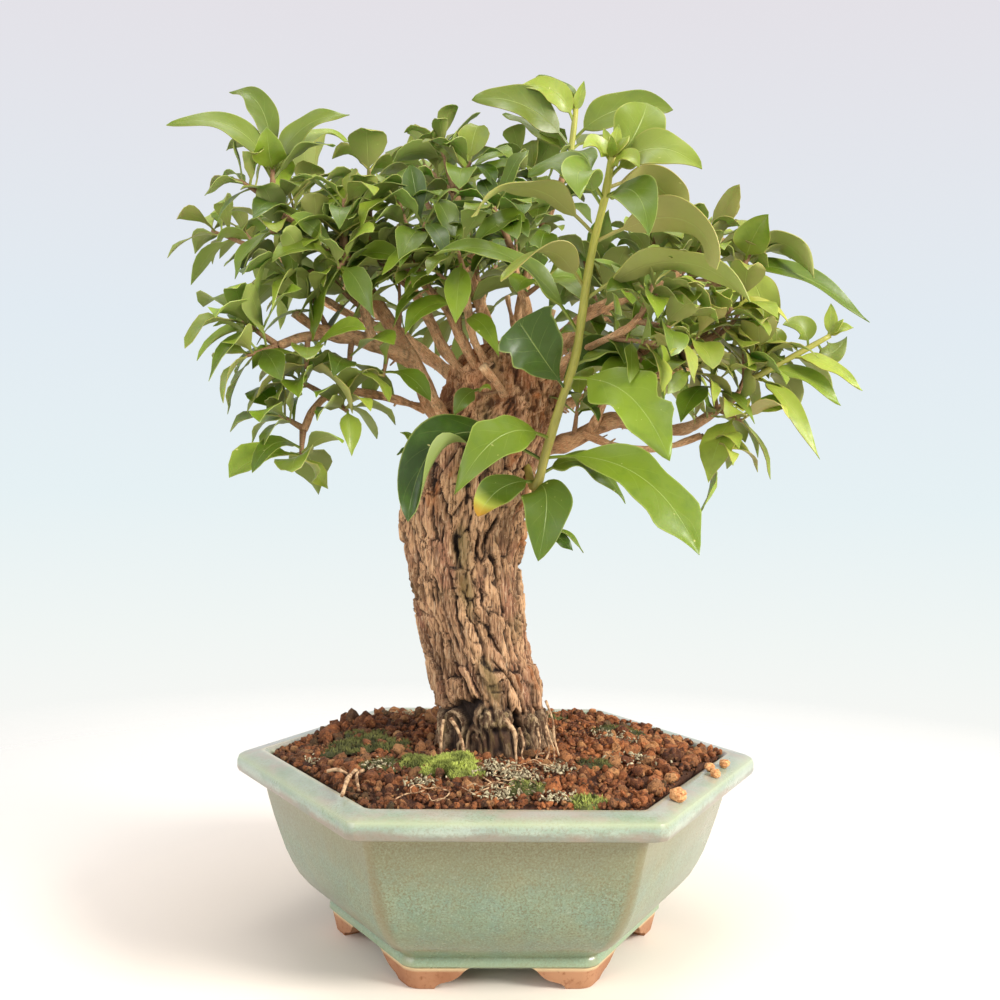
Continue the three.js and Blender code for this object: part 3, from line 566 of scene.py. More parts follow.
def lumps(points, seed=0):
    """From -1 to 1 at each point, with one lump to a unit of length."""
    points = np.asarray(points, float)
    cell = np.floor(points).astype(np.int64)
    part = points - cell
    part = part * part * (3 - 2 * part)
    total = np.zeros(len(points))
    for corner in np.ndindex(2, 2, 2):
        at = (cell + corner) * (73856093, 19349663, 83492791)
        key = (at.sum(axis=1) + seed * 2654435761) & 0x7FFFFFFF
        key = ((key ^ (key >> 13)) * 1274126177) & 0x7FFFFFFF
        key = ((key ^ (key >> 15)) * 668265263) & 0x7FFFFFFF
        value = (key >> 7 & 0xFFFF) / 32767.5 - 1
        total += value * np.where(corner, part, 1 - part).prod(axis=1)
    return total


def rough(points, seed=0, octaves=3):
    return sum(lumps(np.asarray(points) * 2**k, seed + k) / 2**k for k in range(octaves)) / 1.5


def ease(value, low, high):
    share = np.clip((value - low) / (high - low), 0, 1)
    return share * share * (3 - 2 * share)


sample = lumps(np.random.default_rng(1).uniform(0, 50, (2000, 3)))
print("chance numbers from", sample.min().round(2), "to", sample.max().round(2))

# %% [markdown]
# ## Rolling a net into a tube
# Each row of the net becomes a ring round the path. The rings keep their turn from one to the next, so the bark does
# not twist. Both ends close to a point, and merging by distance closes the seam.

# %% Tubes along a path


def smooth_path(points, pitch):
    """Points every few millimetres on a smooth curve through the given ones."""
    points = np.array(points, float)
    ends = np.vstack([2 * points[0] - points[1], points, 2 * points[-1] - points[-2]])
    path = []
    for a, b, c, d in zip(ends, ends[1:], ends[2:], ends[3:]):
        steps = max(2, math.ceil(np.linalg.norm(c - b) / pitch))
        for t in np.arange(steps) / steps:
            square, cube = 2 * a - 5 * b + 4 * c - d, 3 * b - a - 3 * c + d
            path.append(0.5 * (2 * b + (c - a) * t + square * t**2 + cube * t**3))
    return np.array(path + [points[-1]])


def tube(name, points, radii, around=12, pitch=2.5, knots=0.0, seed=0, ridges=0.0):
    """Rolls a net round the path; knots is how lumpy it is, as a share of its radius, and ridges is in mm."""
    path = smooth_path(points, pitch)
    steps = np.linalg.norm(np.diff(path, axis=0), axis=1)
    run = np.concatenate([[0], np.cumsum(steps)])
    radius = np.interp(run / run[-1], np.linspace(0, 1, len(radii)), radii)
    place = np.stack([run / 7, run * 0, run * 0 + seed], axis=1)
    radius = radius * (1 + knots * lumps(place, seed))
    heading = np.gradient(path, axis=0)
    across = unit(np.cross(heading[0], (0.31, 0.2, 0.93)))
    order = [0, *range(len(path)), len(path) - 1]
    radius = np.concatenate([[0], radius, [0]])
    obj = net(name, around, len(order) - 1)
    turns = np.linspace(0, 2 * math.pi, around + 1)
    rings = []
    for k, row in enumerate(order):
        along = unit(heading[row])
        across = unit(across - along * np.dot(across, along))
        ring = np.outer(np.cos(turns), across) + np.outer(np.sin(turns), np.cross(along, across))
        uneven = 1 + knots * 0.5 * rough(ring * 1.3 + path[row] / 4, seed, 2)
        line = ring * radius[k] * 0.7 + (0, 0, run[row] * 0.07 + seed * 9)
        out = radius[k] * uneven + (ridges * rough(line, seed + 3, 3) if 0 < k < len(order) - 1 else 0)
        rings.append(path[row] + ring * out[:, None])
    move(obj, np.vstack(rings) * MM)
    uv = obj.data.uv_layers[0].data
    flat = np.empty(len(uv) * 2)
    uv.foreach_get("uv", flat)
    flat = flat.reshape(-1, 2)
    flat[:, 0] *= max(radii) * 2 * math.pi * 0.1
    flat[:, 1] = np.interp(flat[:, 1], np.linspace(0, 1, len(order)), run[order]) * 0.1
    uv.foreach_set("uv", flat.ravel())
    weld(obj)
    return obj


# %% [markdown]
# ## Copying one small shape many times
# Grains, moss blades and leaves are each modelled once. A copy is the same net with its points moved to a new place,
# so every copy is real mesh of its own. All copies of a piece are gathered in one mesh.

# %% Gathering copies in one mesh


def gather(name, master, shapes):
    """One mesh of copies of master; each shape holds where a copy's points lie, in millimetres."""
    count = len(master.data.vertices)
    faces = [tuple(polygon.vertices) for polygon in master.data.polygons]
    mesh = bpy.data.meshes.new(name)
    every = [tuple(i + k * count for i in face) for k in range(len(shapes)) for face in faces]
    mesh.from_pydata((np.vstack(shapes) * MM).tolist(), [], every)
    if master.data.uv_layers:
        source = master.data.uv_layers[0].data
        flat = np.empty(len(source) * 2)
        source.foreach_get("uv", flat)
        mesh.uv_layers.new(name="UVMap")
        mesh.uv_layers[0].data.foreach_set("uv", np.tile(flat, len(shapes)))
    obj = bpy.data.objects.new(name, mesh)
    bpy.context.scene.collection.objects.link(obj)
    mesh.update()
    return obj


def turned(rng):
    """A chance rotation, as a matrix of rows."""
    q = unit(rng.normal(size=4))
    return np.array(Quaternion(q).to_matrix())


# %% [markdown]
# ## The soil
# The soil is a red-brown volcanic clay that is sold as hard grains. A bed follows the solid's mound and fills the pot
# between the grains. On it lie more than a thousand grains and over three thousand crumbs, each a shape of its own.
# Big ones lie on the heap at the back left and small ones in front.

# %% The bed under the grains
SOIL_BRIM = 103.0
BED_AROUND, BED_RINGS = 264, 84
# Corner radius and height of the bed's rings from the middle of the pot's floor up along its inside
BED_UNDER = [(0, 21), (22, 21), (22.2, 18.6), (66, 18.6), (78, 24.5), (86, 33.2), (92, 45), (99.4, 68)]


def wall_radius(corner, angle):
    """Radius of a hexagon in a direction, from the radius of its corners."""
    middle = (np.floor(angle / (math.pi / 3)) + 0.5) * (math.pi / 3)
    return corner * HALF_SIDE / np.cos(angle - middle)


def mound(x, y):
    edge = np.minimum(1, np.hypot(x, y) / 96)
    heap = 6.5 * np.exp(-((x + 66) ** 2 + (y - 34) ** 2) / 900)
    spill = 2.0 * np.exp(-((x - 76) ** 2 + (y + 40) ** 2) / 1300)
    return 81 + 5 * (1 - edge**3) + heap * (1 - edge**6) + spill


bed_rows = BED_RINGS + len(BED_UNDER)
bed = net("soil_bed", BED_AROUND, bed_rows)
flat = places(bed)
angle = flat[:, 0] * 2 * math.pi
row = np.round(flat[:, 1] * bed_rows).astype(int)
corner = np.array([c for c, _ in BED_UNDER] + [SOIL_BRIM * (1 - k / BED_RINGS) for k in range(BED_RINGS + 1)])[row]
out = np.where(corner > 30, wall_radius(corner, angle % (2 * math.pi)), corner)
x, y = out * np.cos(angle), out * np.sin(angle)
surface = mound(x, y) + (1.3 * rough(np.stack([x / 5, y / 5, x * 0], axis=1), 3)
                         + 0.9 * rough(np.stack([x / 1.7, y / 1.7, x * 0], axis=1), 5, 2)) * (row > len(BED_UNDER))
low = np.array([z for _, z in BED_UNDER] + [0] * (BED_RINGS + 1))[row]
move(bed, np.stack([x, y, np.where(row < len(BED_UNDER), low, surface)], axis=1) * MM)
weld(bed)
outward(bed)
smooth(bed)
print("the bed has", len(bed.data.polygons), "faces")

# %% Grains of soil
GRAIN_COUNT = 1250
CRUMB_COUNT = 3400
EDGE_GRAINS = 300
HEAPED_GRAINS = 90
MOST_TRIES = 60000
GRAIN_SIZES, GRAIN_SHARES = [1.5, 2.0, 2.7, 3.5], [0.4, 0.32, 0.19, 0.09]  # radius, and how many have it
GRAIN_SPACING = 0.55  # least way between two grains, as a share of their radii together
# Corner radius within which each kind of grain keeps
GRAIN_WALL, EDGE_WALL, HEAPED_WALL, CRUMB_WALL = 103.4, 105.2, 107, 104.5
TRUNK_FOOT = (27, 26)  # grains keep out of this oval
CRUMB_HOLE = 22
grain_rng = np.random.default_rng(11)


def within(x, y, corner):
    """Whether a place is inside a hexagon with corners of this radius."""
    return math.hypot(x, y) < wall_radius(corner, math.atan2(y, x) % (2 * math.pi))


def grain_master(seed, fineness=2):
    grain = ball(fineness)
    co = places(grain)
    co *= (1 + 0.4 * lumps(co * 1.3 + seed * 7, seed) + 0.4 * lumps(co * 2.9, seed + 50))[:, None]
    for _ in range(6):
        normal = unit(grain_rng.normal(size=3))
        beyond = np.maximum(co @ normal - 0.66, 0)
        co -= np.outer(beyond * 0.85, normal)
    move(grain, co)
    return grain


grain_masters = [grain_master(seed) for seed in range(6)] + [grain_master(seed, 1) for seed in range(6, 9)]
placed = []
tries = 0
while len(placed) < GRAIN_COUNT and tries < MOST_TRIES:
    tries += 1
    spot = grain_rng.uniform(-100, 100, 2)
    direction = math.atan2(spot[1], spot[0]) % (2 * math.pi)
    near_heap = math.exp(-((spot[0] + 60) ** 2 + (spot[1] - 40) ** 2) / 1600)
    size = grain_rng.choice(GRAIN_SIZES, p=GRAIN_SHARES) * (1 + 0.4 * near_heap)
    if np.hypot(*spot) + size > wall_radius(GRAIN_WALL, direction):
        continue
    if ((spot[0] + 1) / TRUNK_FOOT[0]) ** 2 + (spot[1] / TRUNK_FOOT[1]) ** 2 < 1:
        continue
    if placed:
        others = np.array(placed)
        away = np.hypot(others[:, 0] - spot[0], others[:, 1] - spot[1])
        if (away < GRAIN_SPACING * (others[:, 2] + size)).any():
            continue
    placed.append((spot[0], spot[1], size, grain_rng.uniform(-0.1, 0.75) * size, grain_rng.random()))
# Small grains close the gap along the wall, and on the right they lie as high as the rim.
for _ in range(EDGE_GRAINS):
    direction = grain_rng.uniform(0, 2 * math.pi)
    size = grain_rng.uniform(0.9, 2.2)
    away = wall_radius(EDGE_WALL, direction) - size * 1.1 - abs(grain_rng.normal(0, 1.6))
    x, y = away * math.cos(direction), away * math.sin(direction)
    heaped = 1.6 * ease(x, 10, 60) + 0.8 * ease(-y, 60, 85)
    placed.append((x, y, size, 0.6 + grain_rng.uniform(-0.5, 0.6) + heaped, grain_rng.random()))
for _ in range(HEAPED_GRAINS):
    x, y = grain_rng.uniform(44, 98), grain_rng.uniform(-84, 20)
    size = grain_rng.uniform(1.8, 3.8)
    if math.hypot(x, y) + size < wall_radius(HEAPED_WALL, math.atan2(y, x) % (2 * math.pi)):
        placed.append((x, y, size, grain_rng.uniform(1.0, 2.8), grain_rng.uniform(0.6, 1.0)))
crumbs = []
while len(crumbs) < CRUMB_COUNT:
    x, y = grain_rng.uniform(-100, 100, 2)
    if within(x, y, CRUMB_WALL) and math.hypot(x, y) > CRUMB_HOLE:
        size = grain_rng.uniform(0.5, 1.2)
        crumbs.append((x, y, size, grain_rng.uniform(-0.2, 1.6) * size, grain_rng.random()))
shares = [placed[kind::6] for kind in range(6)] + [crumbs[kind::3] for kind in range(3)]
grains = []
for kind, master in enumerate(grain_masters):
    shape = places(master)
    copies, tones = [], []
    for gx, gy, size, lift, dusty in shares[kind]:
        stretch = grain_rng.uniform(0.75, 1.2, 3) * size
        turned_shape = (shape * stretch) @ turned(grain_rng)
        copies.append(turned_shape + (gx, gy, mound(gx, gy) + lift))
        tones.append(np.tile([grain_rng.random(), dusty, 0], (len(shape), 1)))
    grain_set = gather(f"grains_{kind + 1}", master, copies)
    paint(grain_set, "grain", np.vstack(tones))
    grains.append(grain_set)
    bpy.data.objects.remove(master)
# The bed's third channel is painted shade: it darkens the soil seen between the grains.
paint(bed, "grain", np.tile([0.2, 0.5, 0.5], (len(bed.data.vertices), 1)))
soil_grains = join("soil_grains", grains)
smooth(soil_grains, 50)
finish_piece(bed, "soil", "soil")
finish_piece(soil_grains, "soil", "soil")
print("grains:", len(placed), "crumbs:", len(crumbs), "faces:", len(soil_grains.data.polygons))

# %% [markdown]
# ## The finish of the grains
# Each grain has its own tone, from rust red to dark brown, and a few are pale tan. The tone comes from an attribute,
# and fine noise gives the burnt, porous surface. Damp patches are darker. The bed between the grains is painted
# half way to near black as shade, and the left side of the soil is darkened as painted shade.

# %% Soil colour
earth = Finish("red_soil", Roughness=0.95)
tone, dust, gap_shade = earth.channels("grain")
place = earth.object_place()
crumb = earth.noise(place, 640, 5, 0.75)
body = earth.mix(rgb(92, 48, 24), rgb(182, 108, 58), tone)
body = earth.mix(body, rgb(214, 158, 102), earth.ramp(dust, 0.8, 1.0, 0, 0.75))
body = earth.mix(body, rgb(88, 72, 42), earth.ramp(dust, 0.2, 0.0, 0, 0.9))
body = earth.mix(body, rgb(48, 26, 12), earth.ramp(crumb, 0.52, 0.64, 0, 0.9))
body = earth.mix(body, rgb(226, 160, 98), earth.ramp(crumb, 0.45, 0.34, 0, 0.65))
damp = earth.ramp(earth.noise(place, 22, 3), 0.54, 0.68, 0, 0.5)
body = earth.mix(body, rgb(46, 30, 18), damp)
# Painted shade: the soil is darkened towards its left side.
left_side_shade = earth.ramp(earth.axis("X", place), -0.01, -0.05, 0, 0.35)
body = earth.mix(body, rgb(46, 34, 20), left_side_shade)
# Painted shade between the grains: the bed is mixed towards near black.
earth.colour(earth.mix(body, rgb(34, 17, 10), gap_shade))
earth.bump(crumb, 1.0, 0.002)
bed.data.materials.append(earth.material)
soil_grains.data.materials.append(earth.material)
print("soil finish:", earth.material.name)

# %% [markdown]
# ## The trunk
# This is the old wood that makes the tree worth looking at. Its bark has split into long plates that stand in layers
# with dark cracks between them. A fine net is rolled round the trunk's slices. The relief is then worked out point by
# point: plates from the nearest of scattered seeds, ledges from steps in a slow noise, and fibres from a noise that
# is stretched upwards.

# %% The trunk's smooth form
# Middle x, height, half width and half depth of level slices
TRUNK = np.array([
    (-1, 72, 24.5, 23), (-1, 85, 26, 24.5), (-2.5, 95, 24.8, 23.5), (-5, 110, 23.6, 22.5), (-10, 130, 22.8, 21.5),
    (-14.5, 150, 24.2, 22.5), (-17.6, 170, 25.4, 23.5), (-17.8, 190, 27.6, 25), (-15.5, 207, 28, 26),
    (-8.5, 226, 28, 26), (-2, 243, 26.6, 25), (0.5, 256, 24, 23), (0.5, 264, 18.5, 18), (0.5, 269, 11, 11),
    (0.5, 271, 4, 4), (0.5, 271.5, 0, 0),
])
TRUNK_AROUND, TRUNK_ROWS = 310, 300
trunk = net("trunk", TRUNK_AROUND, TRUNK_ROWS)
grid = places(trunk)
turn = (grid[:, 0] + 0.25) * 2 * math.pi
rows = np.linspace(0, 1, TRUNK_ROWS + 1)
girth = np.concatenate([[0], np.cumsum(np.hypot(np.diff(TRUNK[:, 1]), np.diff(TRUNK[:, 2])))])
slices = np.stack([np.interp(rows * girth[-1], girth, TRUNK[:, k]) for k in range(4)], axis=1)
for _ in range(14):
    slices[1:-1] = (slices[:-2] + 2 * slices[1:-1] + slices[2:]) / 4
slices[0, 2:] = 0
middle, height, wide, deep = slices[np.round(grid[:, 1] * TRUNK_ROWS).astype(int)].T
print("the trunk's net has", len(grid), "points")

# %% Plates of the bark
bark_rng = np.random.default_rng(4)
GIRTH = 25.0  # a round trunk of this radius is used to lay out the plates
PLATE_COUNT = 430
SQUASH = 0.4  # plates are laid out on a trunk this much shorter, so they come out long


def on_round(direction, level):
    return np.stack([GIRTH * np.cos(direction), GIRTH * np.sin(direction), level], axis=1)


def turned_from(degrees):
    """How far each point of the trunk lies round from a direction, from minus to plus half a turn."""
    return (turn - math.radians(degrees) + math.pi) % (2 * math.pi) - math.pi


laid_turn = turn + 0.0035 * (np.clip(height, 85, 150) - 150)  # fibres lean to the lower right on the lower trunk
round_place = on_round(laid_turn, height)
bent_aside = 3.2 * rough(round_place * (0.09, 0.09, 0.05), 21, 2) + 1.1 * lumps(round_place * 0.32, 23)
bent_turn = laid_turn + bent_aside / GIRTH
bent_height = height + 5 * lumps(round_place * (0.12, 0.12, 0.08), 25)
laid = on_round(bent_turn, bent_height * SQUASH)
seed_turn = bark_rng.uniform(0, 2 * math.pi, PLATE_COUNT)
seed_height = bark_rng.uniform(66, 284, PLATE_COUNT)
seeds = on_round(seed_turn, seed_height * SQUASH)
plate_finder = KDTree(PLATE_COUNT)
for k, point in enumerate(seeds):
    plate_finder.insert(point, k)
plate_finder.balance()
found = [plate_finder.find_n(point, 2) for point in laid]
plate = np.array([pair[0][1] for pair in found])
edge = np.array([pair[1][2] - pair[0][2] for pair in found])
level_of = bark_rng.uniform(0, 1, PLATE_COUNT) ** 1.4
lift_of = bark_rng.uniform(-0.4, 1.0, PLATE_COUNT)
above_seed = bent_height - seed_height[plate]
print("plates:", len(set(plate)))

# %% Ledges, fibres and cracks, and the relief they add up to
step = level_of[plate] * 2.9
step -= 1.8 * (1 - ease(edge, 0.0, 0.9)) * ease(rough(round_place * 0.12, 27, 2), -0.35, 0.25)
step += np.clip(lift_of[plate] * above_seed * 0.06, -0.8, 0.9)
slow = 2.2 * rough(round_place * (0.14, 0.14, 0.05), 31)
ledge = np.floor(slow) + ease(slow - np.floor(slow), 0.0, 0.22)
thread_place = on_round(bent_turn, height)
fibre = 1 - 2 * np.abs(lumps(thread_place * (0.75, 0.75, 0.05), 41))
fine_fibre = 1 - 2 * np.abs(lumps(thread_place * (1.5, 1.5, 0.11), 47))
swell = rough(round_place * (0.045, 0.045, 0.03), 49, 2)
crack = ease(rough(thread_place * (0.24, 0.24, 0.028), 51, 2), 0.3, 0.52)
nick = ease(lumps(round_place * (0.2, 0.2, 0.5), 53), 0.62, 0.8)
high = ease(height, 214, 244)
crumble = rough(round_place * 0.17, 61, 4) + 0.6 * rough(round_place * 0.5, 63, 2)
relief = step + 0.7 * ledge + 0.7 * fibre + 0.5 * fine_fibre + 1.5 * swell - 2.8 * crack - 1.0 * nick - 1.8
swirl = round_place + 3.5 * np.stack([lumps(round_place * 0.13, 66 + k) for k in range(3)], axis=1)
flaky = 1 - 2 * np.abs(lumps(swirl * (0.3, 0.3, 0.16), 65))
relief = relief * (1 - 0.6 * high) + (2.4 * np.maximum(crumble, -0.5) + 1.2 * np.maximum(flaky, -0.3)) * high
burl = np.exp(-((turned_from(318) * 26 / 9) ** 2) - ((height - 200) / 8) ** 2)
relief += burl * (3.2 + 2.4 * crumble)
print("relief from", relief.min().round(1), "to", relief.max().round(1), "mm")

# %% [markdown]
# ## Where the trunk meets the soil
# The bark ends in a frayed skirt a thumb's width above the soil. Below it the wood is hollowed and damp, and its
# hollows are painted dark as shade. Root knobs stand out of it like small arches, grey and pale where water has
# washed them, with a painted highlight on their caps. Each arch is a ridge round a half circle on two legs.

# %% Skirt, hollows and root knobs
# Direction in degrees, height of the crown, half width, and how full the arch is
KNOBS = [
    (222, 104, 5.6, 0.25), (250, 98, 4.0, 0.6), (272, 109, 8.6, 1.0), (300, 96, 3.6, 0.7), (318, 104, 4.8, 0.9),
    (346, 100, 4.2, 0.6), (14, 105, 7, 0.8), (48, 99, 5, 0.5), (80, 104, 6.5, 0.9), (112, 98, 4.5, 0.6),
    (138, 106, 7, 0.7), (170, 101, 5.4, 0.5), (198, 99, 4.6, 0.8),
]
stray = round_place + 1.8 * np.stack([lumps(round_place * 0.22, 90 + k) for k in range(3)], axis=1)
skirt = 108 + 3 * np.sin(3 * turn + 1) + 2.5 * lumps(round_place * (0.6, 0.6, 0.01), 71)
below = ease(skirt - height, 0, 2.2)
foot_fibre = 1 - 2 * np.abs(lumps(stray * (0.6, 0.6, 0.08), 72))
groove = 1 - 2 * np.abs(lumps(stray * (0.36, 0.36, 0.06), 74))
HOLLOW_DEPTH = 6.2
foot_relief = -HOLLOW_DEPTH + 1.5 * rough(stray * (0.3, 0.3, 0.12), 73) + 0.8 * foot_fibre
washed_and_highlit = np.zeros(len(grid))
for degrees, crown, half, full in KNOBS:
    s = turned_from(degrees) * wide + 1.6 * lumps(round_place * 0.2, 75) + 0.7 * lumps(round_place * 0.55, 76)
    up = height - (crown - half) + 1.4 * lumps(round_place * 0.25, 77)
    from_middle = np.where(up > 0, np.hypot(s, up), np.abs(s) * (1 - 0.014 * up))
    arch = np.exp(-(((from_middle - half) / 1.5) ** 2))
    inside = ease(half - from_middle, -1.0, 2.2)
    cap = ease(up, -4, 0) * inside
    foot_relief = np.maximum(foot_relief, -HOLLOW_DEPTH + (HOLLOW_DEPTH + 0.4) * arch + 0.5 * foot_fibre)
    body = (HOLLOW_DEPTH - 1.2) * full + 0.8 * foot_fibre + 1.5 * groove + 2.6 * full * cap
    foot_relief = np.maximum(foot_relief, -HOLLOW_DEPTH + body * inside)
    # The washed share marks the knobs' pale washed wood, and on each cap it also paints a highlight.
    washed_and_highlit = np.maximum(washed_and_highlit, np.maximum(arch * (1 - 0.5 * full), cap * full + inside * full * 0.45 * (groove > 0.2)))
flare = 2.2 * ease(98 - height, 0, 14)
relief = relief * (1 - below) + (foot_relief + flare) * below
square = relief.reshape(TRUNK_ROWS + 1, TRUNK_AROUND + 1)
blurred = square.copy()
for _ in range(2):
    blurred = sum(np.roll(blurred, k, axis=1) for k in range(-4, 5)) / 9
    blurred = sum(np.roll(blurred, k, axis=0) for k in range(-3, 4)) / 7
hollow = (blurred - square).ravel()
fade = np.clip(wide / 16, 0, 1)
move(trunk, np.stack([
    middle + (wide + relief * fade) * np.cos(turn),
    (deep + relief * fade) * np.sin(turn),
    height + 0.4 * ledge * (1 - below) * fade,
], axis=1) * MM)
# Painted shade: the tone darkens a little in hollows, and the shade share darkens hollows and cracks strongly.
tone = 0.5 + 0.8 * (bark_rng.uniform(0, 1, PLATE_COUNT)[plate] - 0.5) + 0.25 * fibre - 0.2 * hollow
# On the crumbly top, raised crumbs and flakes are made paler: their own pale wood, and a painted highlight.
tone = np.clip(tone + (0.5 * crumble + 0.3 * flaky) * high, 0, 1)
shade = np.clip(ease(hollow, 0.2, 1.7) + 0.4 * ease(hollow, 0.0, 0.6), 0, 1)
# Painted shade also fills the recess under the skirt.
shade = np.maximum(shade * (1 - 0.35 * high), below * ease(-foot_relief, 1.0, 4.2))
valley = np.exp(-(((turn - math.radians(272) + 0.0025 * (height - 150)) / 0.16) ** 2))
olive = valley * (0.6 + 0.8 * lumps(round_place * 0.12, 81)) + 0.5 * ease(lumps(round_place * 0.07, 83), 0.35, 0.8)
paint(trunk, "bark", np.stack([tone, shade, np.clip(olive, 0, 1)], axis=1))
orange = np.clip(0.55 * high + 0.8 * ease(rough(round_place * (0.15, 0.15, 0.05), 85), 0.3, 0.6), 0, 1)
# This attribute holds the washed share with its painted highlight on the caps, the orange share and the damp share.
paint(trunk, "wear_and_highlight", np.stack([washed_and_highlit * below, orange * (1 - below), below * 0.9], axis=1))
weld(trunk)
outward(trunk)
smooth(trunk)
finish_piece(trunk, "bark", "tree")
print("the trunk has", len(trunk.data.polygons), "faces")

# %% [markdown]
# ## The branches
# The branches were cut back hard over many years, so each one leaves the trunk thick, turns at old cuts and ends thin.
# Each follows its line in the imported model. A tube with knots gives the uneven growth, and a swollen foot lets it
# grow out of the trunk.

# %% Lines of the branches, as seen: name, radius at the foot and at the end, and points (x, z, toward)
BRANCHES = [
    ["left_main", 4.5, 1.7, [-16, 224, 0], [-30, 236, 8], [-39, 256, 12], [-49, 273, 12], [-60, 290, 14],
        [-71, 304, 16], [-83, 312, 18], [-96, 321, 20], [-105, 331, 22]],
    ["left_level", 4, 1.7, [-43, 262, 12], [-55, 267, 20], [-67, 271, 24], [-79, 272, 28], [-92, 271, 32],
        [-103, 267, 36]],
    ["left_upright", 2.3, 1.5, [-61, 270, 22], [-64, 284, 24], [-69, 298, 28], [-73, 312, 32]],
    ["left_low", 1.8, 1.5, [-36, 240, 8], [-50, 244, 14], [-63, 246, 20], [-77, 247, 24], [-87, 238, 28],
        [-91, 229, 30]],
    ["stem_outer", 2.6, 1.6, [-14, 250, 10], [-27, 266, 16], [-35, 281, 18], [-43, 294, 18], [-53, 305, 18],
        [-62, 317, 16]],
    ["stem_middle", 2.2, 1.5, [-10, 254, 14], [-20, 272, 22], [-28, 286, 26], [-38, 298, 28], [-42, 310, 28]],
    ["stem_inner", 2.4, 1.5, [-6, 256, 14], [-14, 272, 24], [-17, 287, 30], [-19, 301, 36]],
    ["snag", 2.1, 1.7, [2, 242, 14], [-2, 250, 29], [-10, 260, 34]],
    ["top_left", 2.5, 1.5, [-4, 262, 0], [-12, 292, -4], [-18, 318, -2], [-24, 338, 2]],
    ["top_middle", 2.8, 1.6, [4, 262, 0], [8, 292, -6], [17, 322, -4], [25, 346, 2]],
    ["top_front", 2.2, 1.5, [6, 262, 10], [10, 284, 22], [5, 300, 28], [2, 314, 28]],
    ["right_upper", 3.1, 1.6, [12, 256, 0], [32, 280, -8], [58, 294, -8], [82, 300, -2], [101, 300, 4]],
    ["right_middle", 3, 1.6, [14, 250, 8], [38, 263, 14], [60, 270, 18], [80, 270, 20], [98, 276, 18]],
    ["right_low", 4.6, 1.7, [8, 220, 0], [30, 226, 2], [50, 236, 4], [68, 233, 6], [84, 233, 8], [100, 243, 10],
        [112, 252, 10]],
    ["right_lowest", 1.8, 1.5, [38, 230, 4], [50, 225, 12], [64, 223, 16], [78, 225, 18], [91, 230, 18]],
    ["front_right", 2.2, 1.5, [14, 254, 14], [36, 268, 34], [54, 277, 46], [62, 284, 50]],
    ["back_left", 3.4, 1.6, [-10, 246, -12], [-34, 262, -42], [-58, 276, -66], [-84, 288, -82]],
    ["back_far_left", 2.5, 1.5, [-27, 258, -36], [-60, 284, -46], [-86, 302, -52], [-112, 310, -54]],
    ["back_middle", 3.2, 1.6, [-2, 256, -12], [-10, 282, -40], [-16, 304, -68], [-20, 316, -84]],
    ["back_top", 2.3, 1.5, [-8, 276, -36], [-20, 306, -46], [-34, 328, -50]],
    ["back_right", 3.4, 1.6, [10, 252, -12], [30, 272, -42], [50, 286, -68], [62, 292, -84]],
    ["back_far_right", 2.5, 1.5, [26, 268, -40], [54, 292, -52], [80, 304, -56]],
    ["back_low_right", 2.5, 1.5, [12, 236, -14], [42, 248, -50], [74, 258, -70], [90, 262, -78]],
]


def as_seen(points):
    return [seen(*point) for point in points]


branches = []
wood_lines = [np.array([(x, 0, z) for x, z, _, _ in TRUNK if 90 < z < 262])]
for number, (name, start, end, *points) in enumerate(BRANCHES):
    line = as_seen(points)
    wood_lines.append(np.array(line))
    count = len(line) * 3
    radii = np.interp(np.linspace(0, 1, count), [0, 1], [start, end])
    radii[:2] *= (1.2, 1.1)
    branches.append(tube(name, line, radii, 24, 1.3, 0.2, number, 0.75))
# Points of the cut-off stubs, as seen, and their radius
STUBS = [
    ([(-80, 273, 29), (-87, 276, 30), (-96, 282, 30)], 2.2), ([(58, 266, 18), (72, 266, 20), (85, 267, 20)], 1.6),
    ([(-66, 277, 22), (-76, 285, 24), (-87, 291, 25)], 1.3), ([(-12, 280, 0), (-11, 288, 2), (-11, 296, 2)], 1.7),
    ([(4, 278, 0), (2, 285, 4), (1, 292, 4)], 1.5), ([(18, 272, 4), (20, 279, 6), (22, 286, 6)], 1.5),
    ([(40, 231, 6), (44, 240, 12), (47, 247, 15)], 1.6), ([(-27, 236, 16), (-33, 246, 26), (-36, 252, 29)], 1.8),
]
SNAG_END = (-10, 260, 34)
CUT_REACH = 2.4  # the pale cut face reaches this far from a stub's end, in mm
for number, (points, radius) in enumerate(STUBS):
    branches.append(tube("stub", as_seen(points), (radius * 1.3, radius, radius * 0.9), 14, 1.2, 0.3, 60 + number, 0.7))

# Short dead spurs, where leaves and thorns once stood
deselect()
bpy.ops.mesh.primitive_cylinder_add(vertices=7, radius=1, depth=1, location=(0, 0, 0.5))
spur_master = bpy.context.object
edit_points(spur_master, [vertex.co.z > 0.4 for vertex in spur_master.data.vertices])
bpy.ops.transform.resize(value=(0.55, 0.5, 1))
done()
spur_shape = places(spur_master) + (0, 0, 0.5)
dead_rng = np.random.default_rng(77)
dead_spurs = []
for _, start, end, *points in BRANCHES:
    line = smooth_path(as_seen(points), 2.0)
    for _ in range(max(4, len(line) // 5)):
        k = dead_rng.integers(2, len(line) - 1)
        along = unit(line[k] - line[k - 1])
        out = unit(np.cross(along, dead_rng.normal(size=3)) + along * dead_rng.uniform(-0.2, 0.7))
        side = unit(np.cross(out, (0.3, 0.2, 0.9)))
        thick = dead_rng.uniform(0.5, 1.0)
        reach = np.interp(k / len(line), [0, 1], [start, end]) * 0.7 + dead_rng.uniform(1.2, 4.0)
        frame_rows = np.stack([side * thick, np.cross(out, side) * thick, out * reach])
        dead_spurs.append(line[k] + spur_shape @ frame_rows)
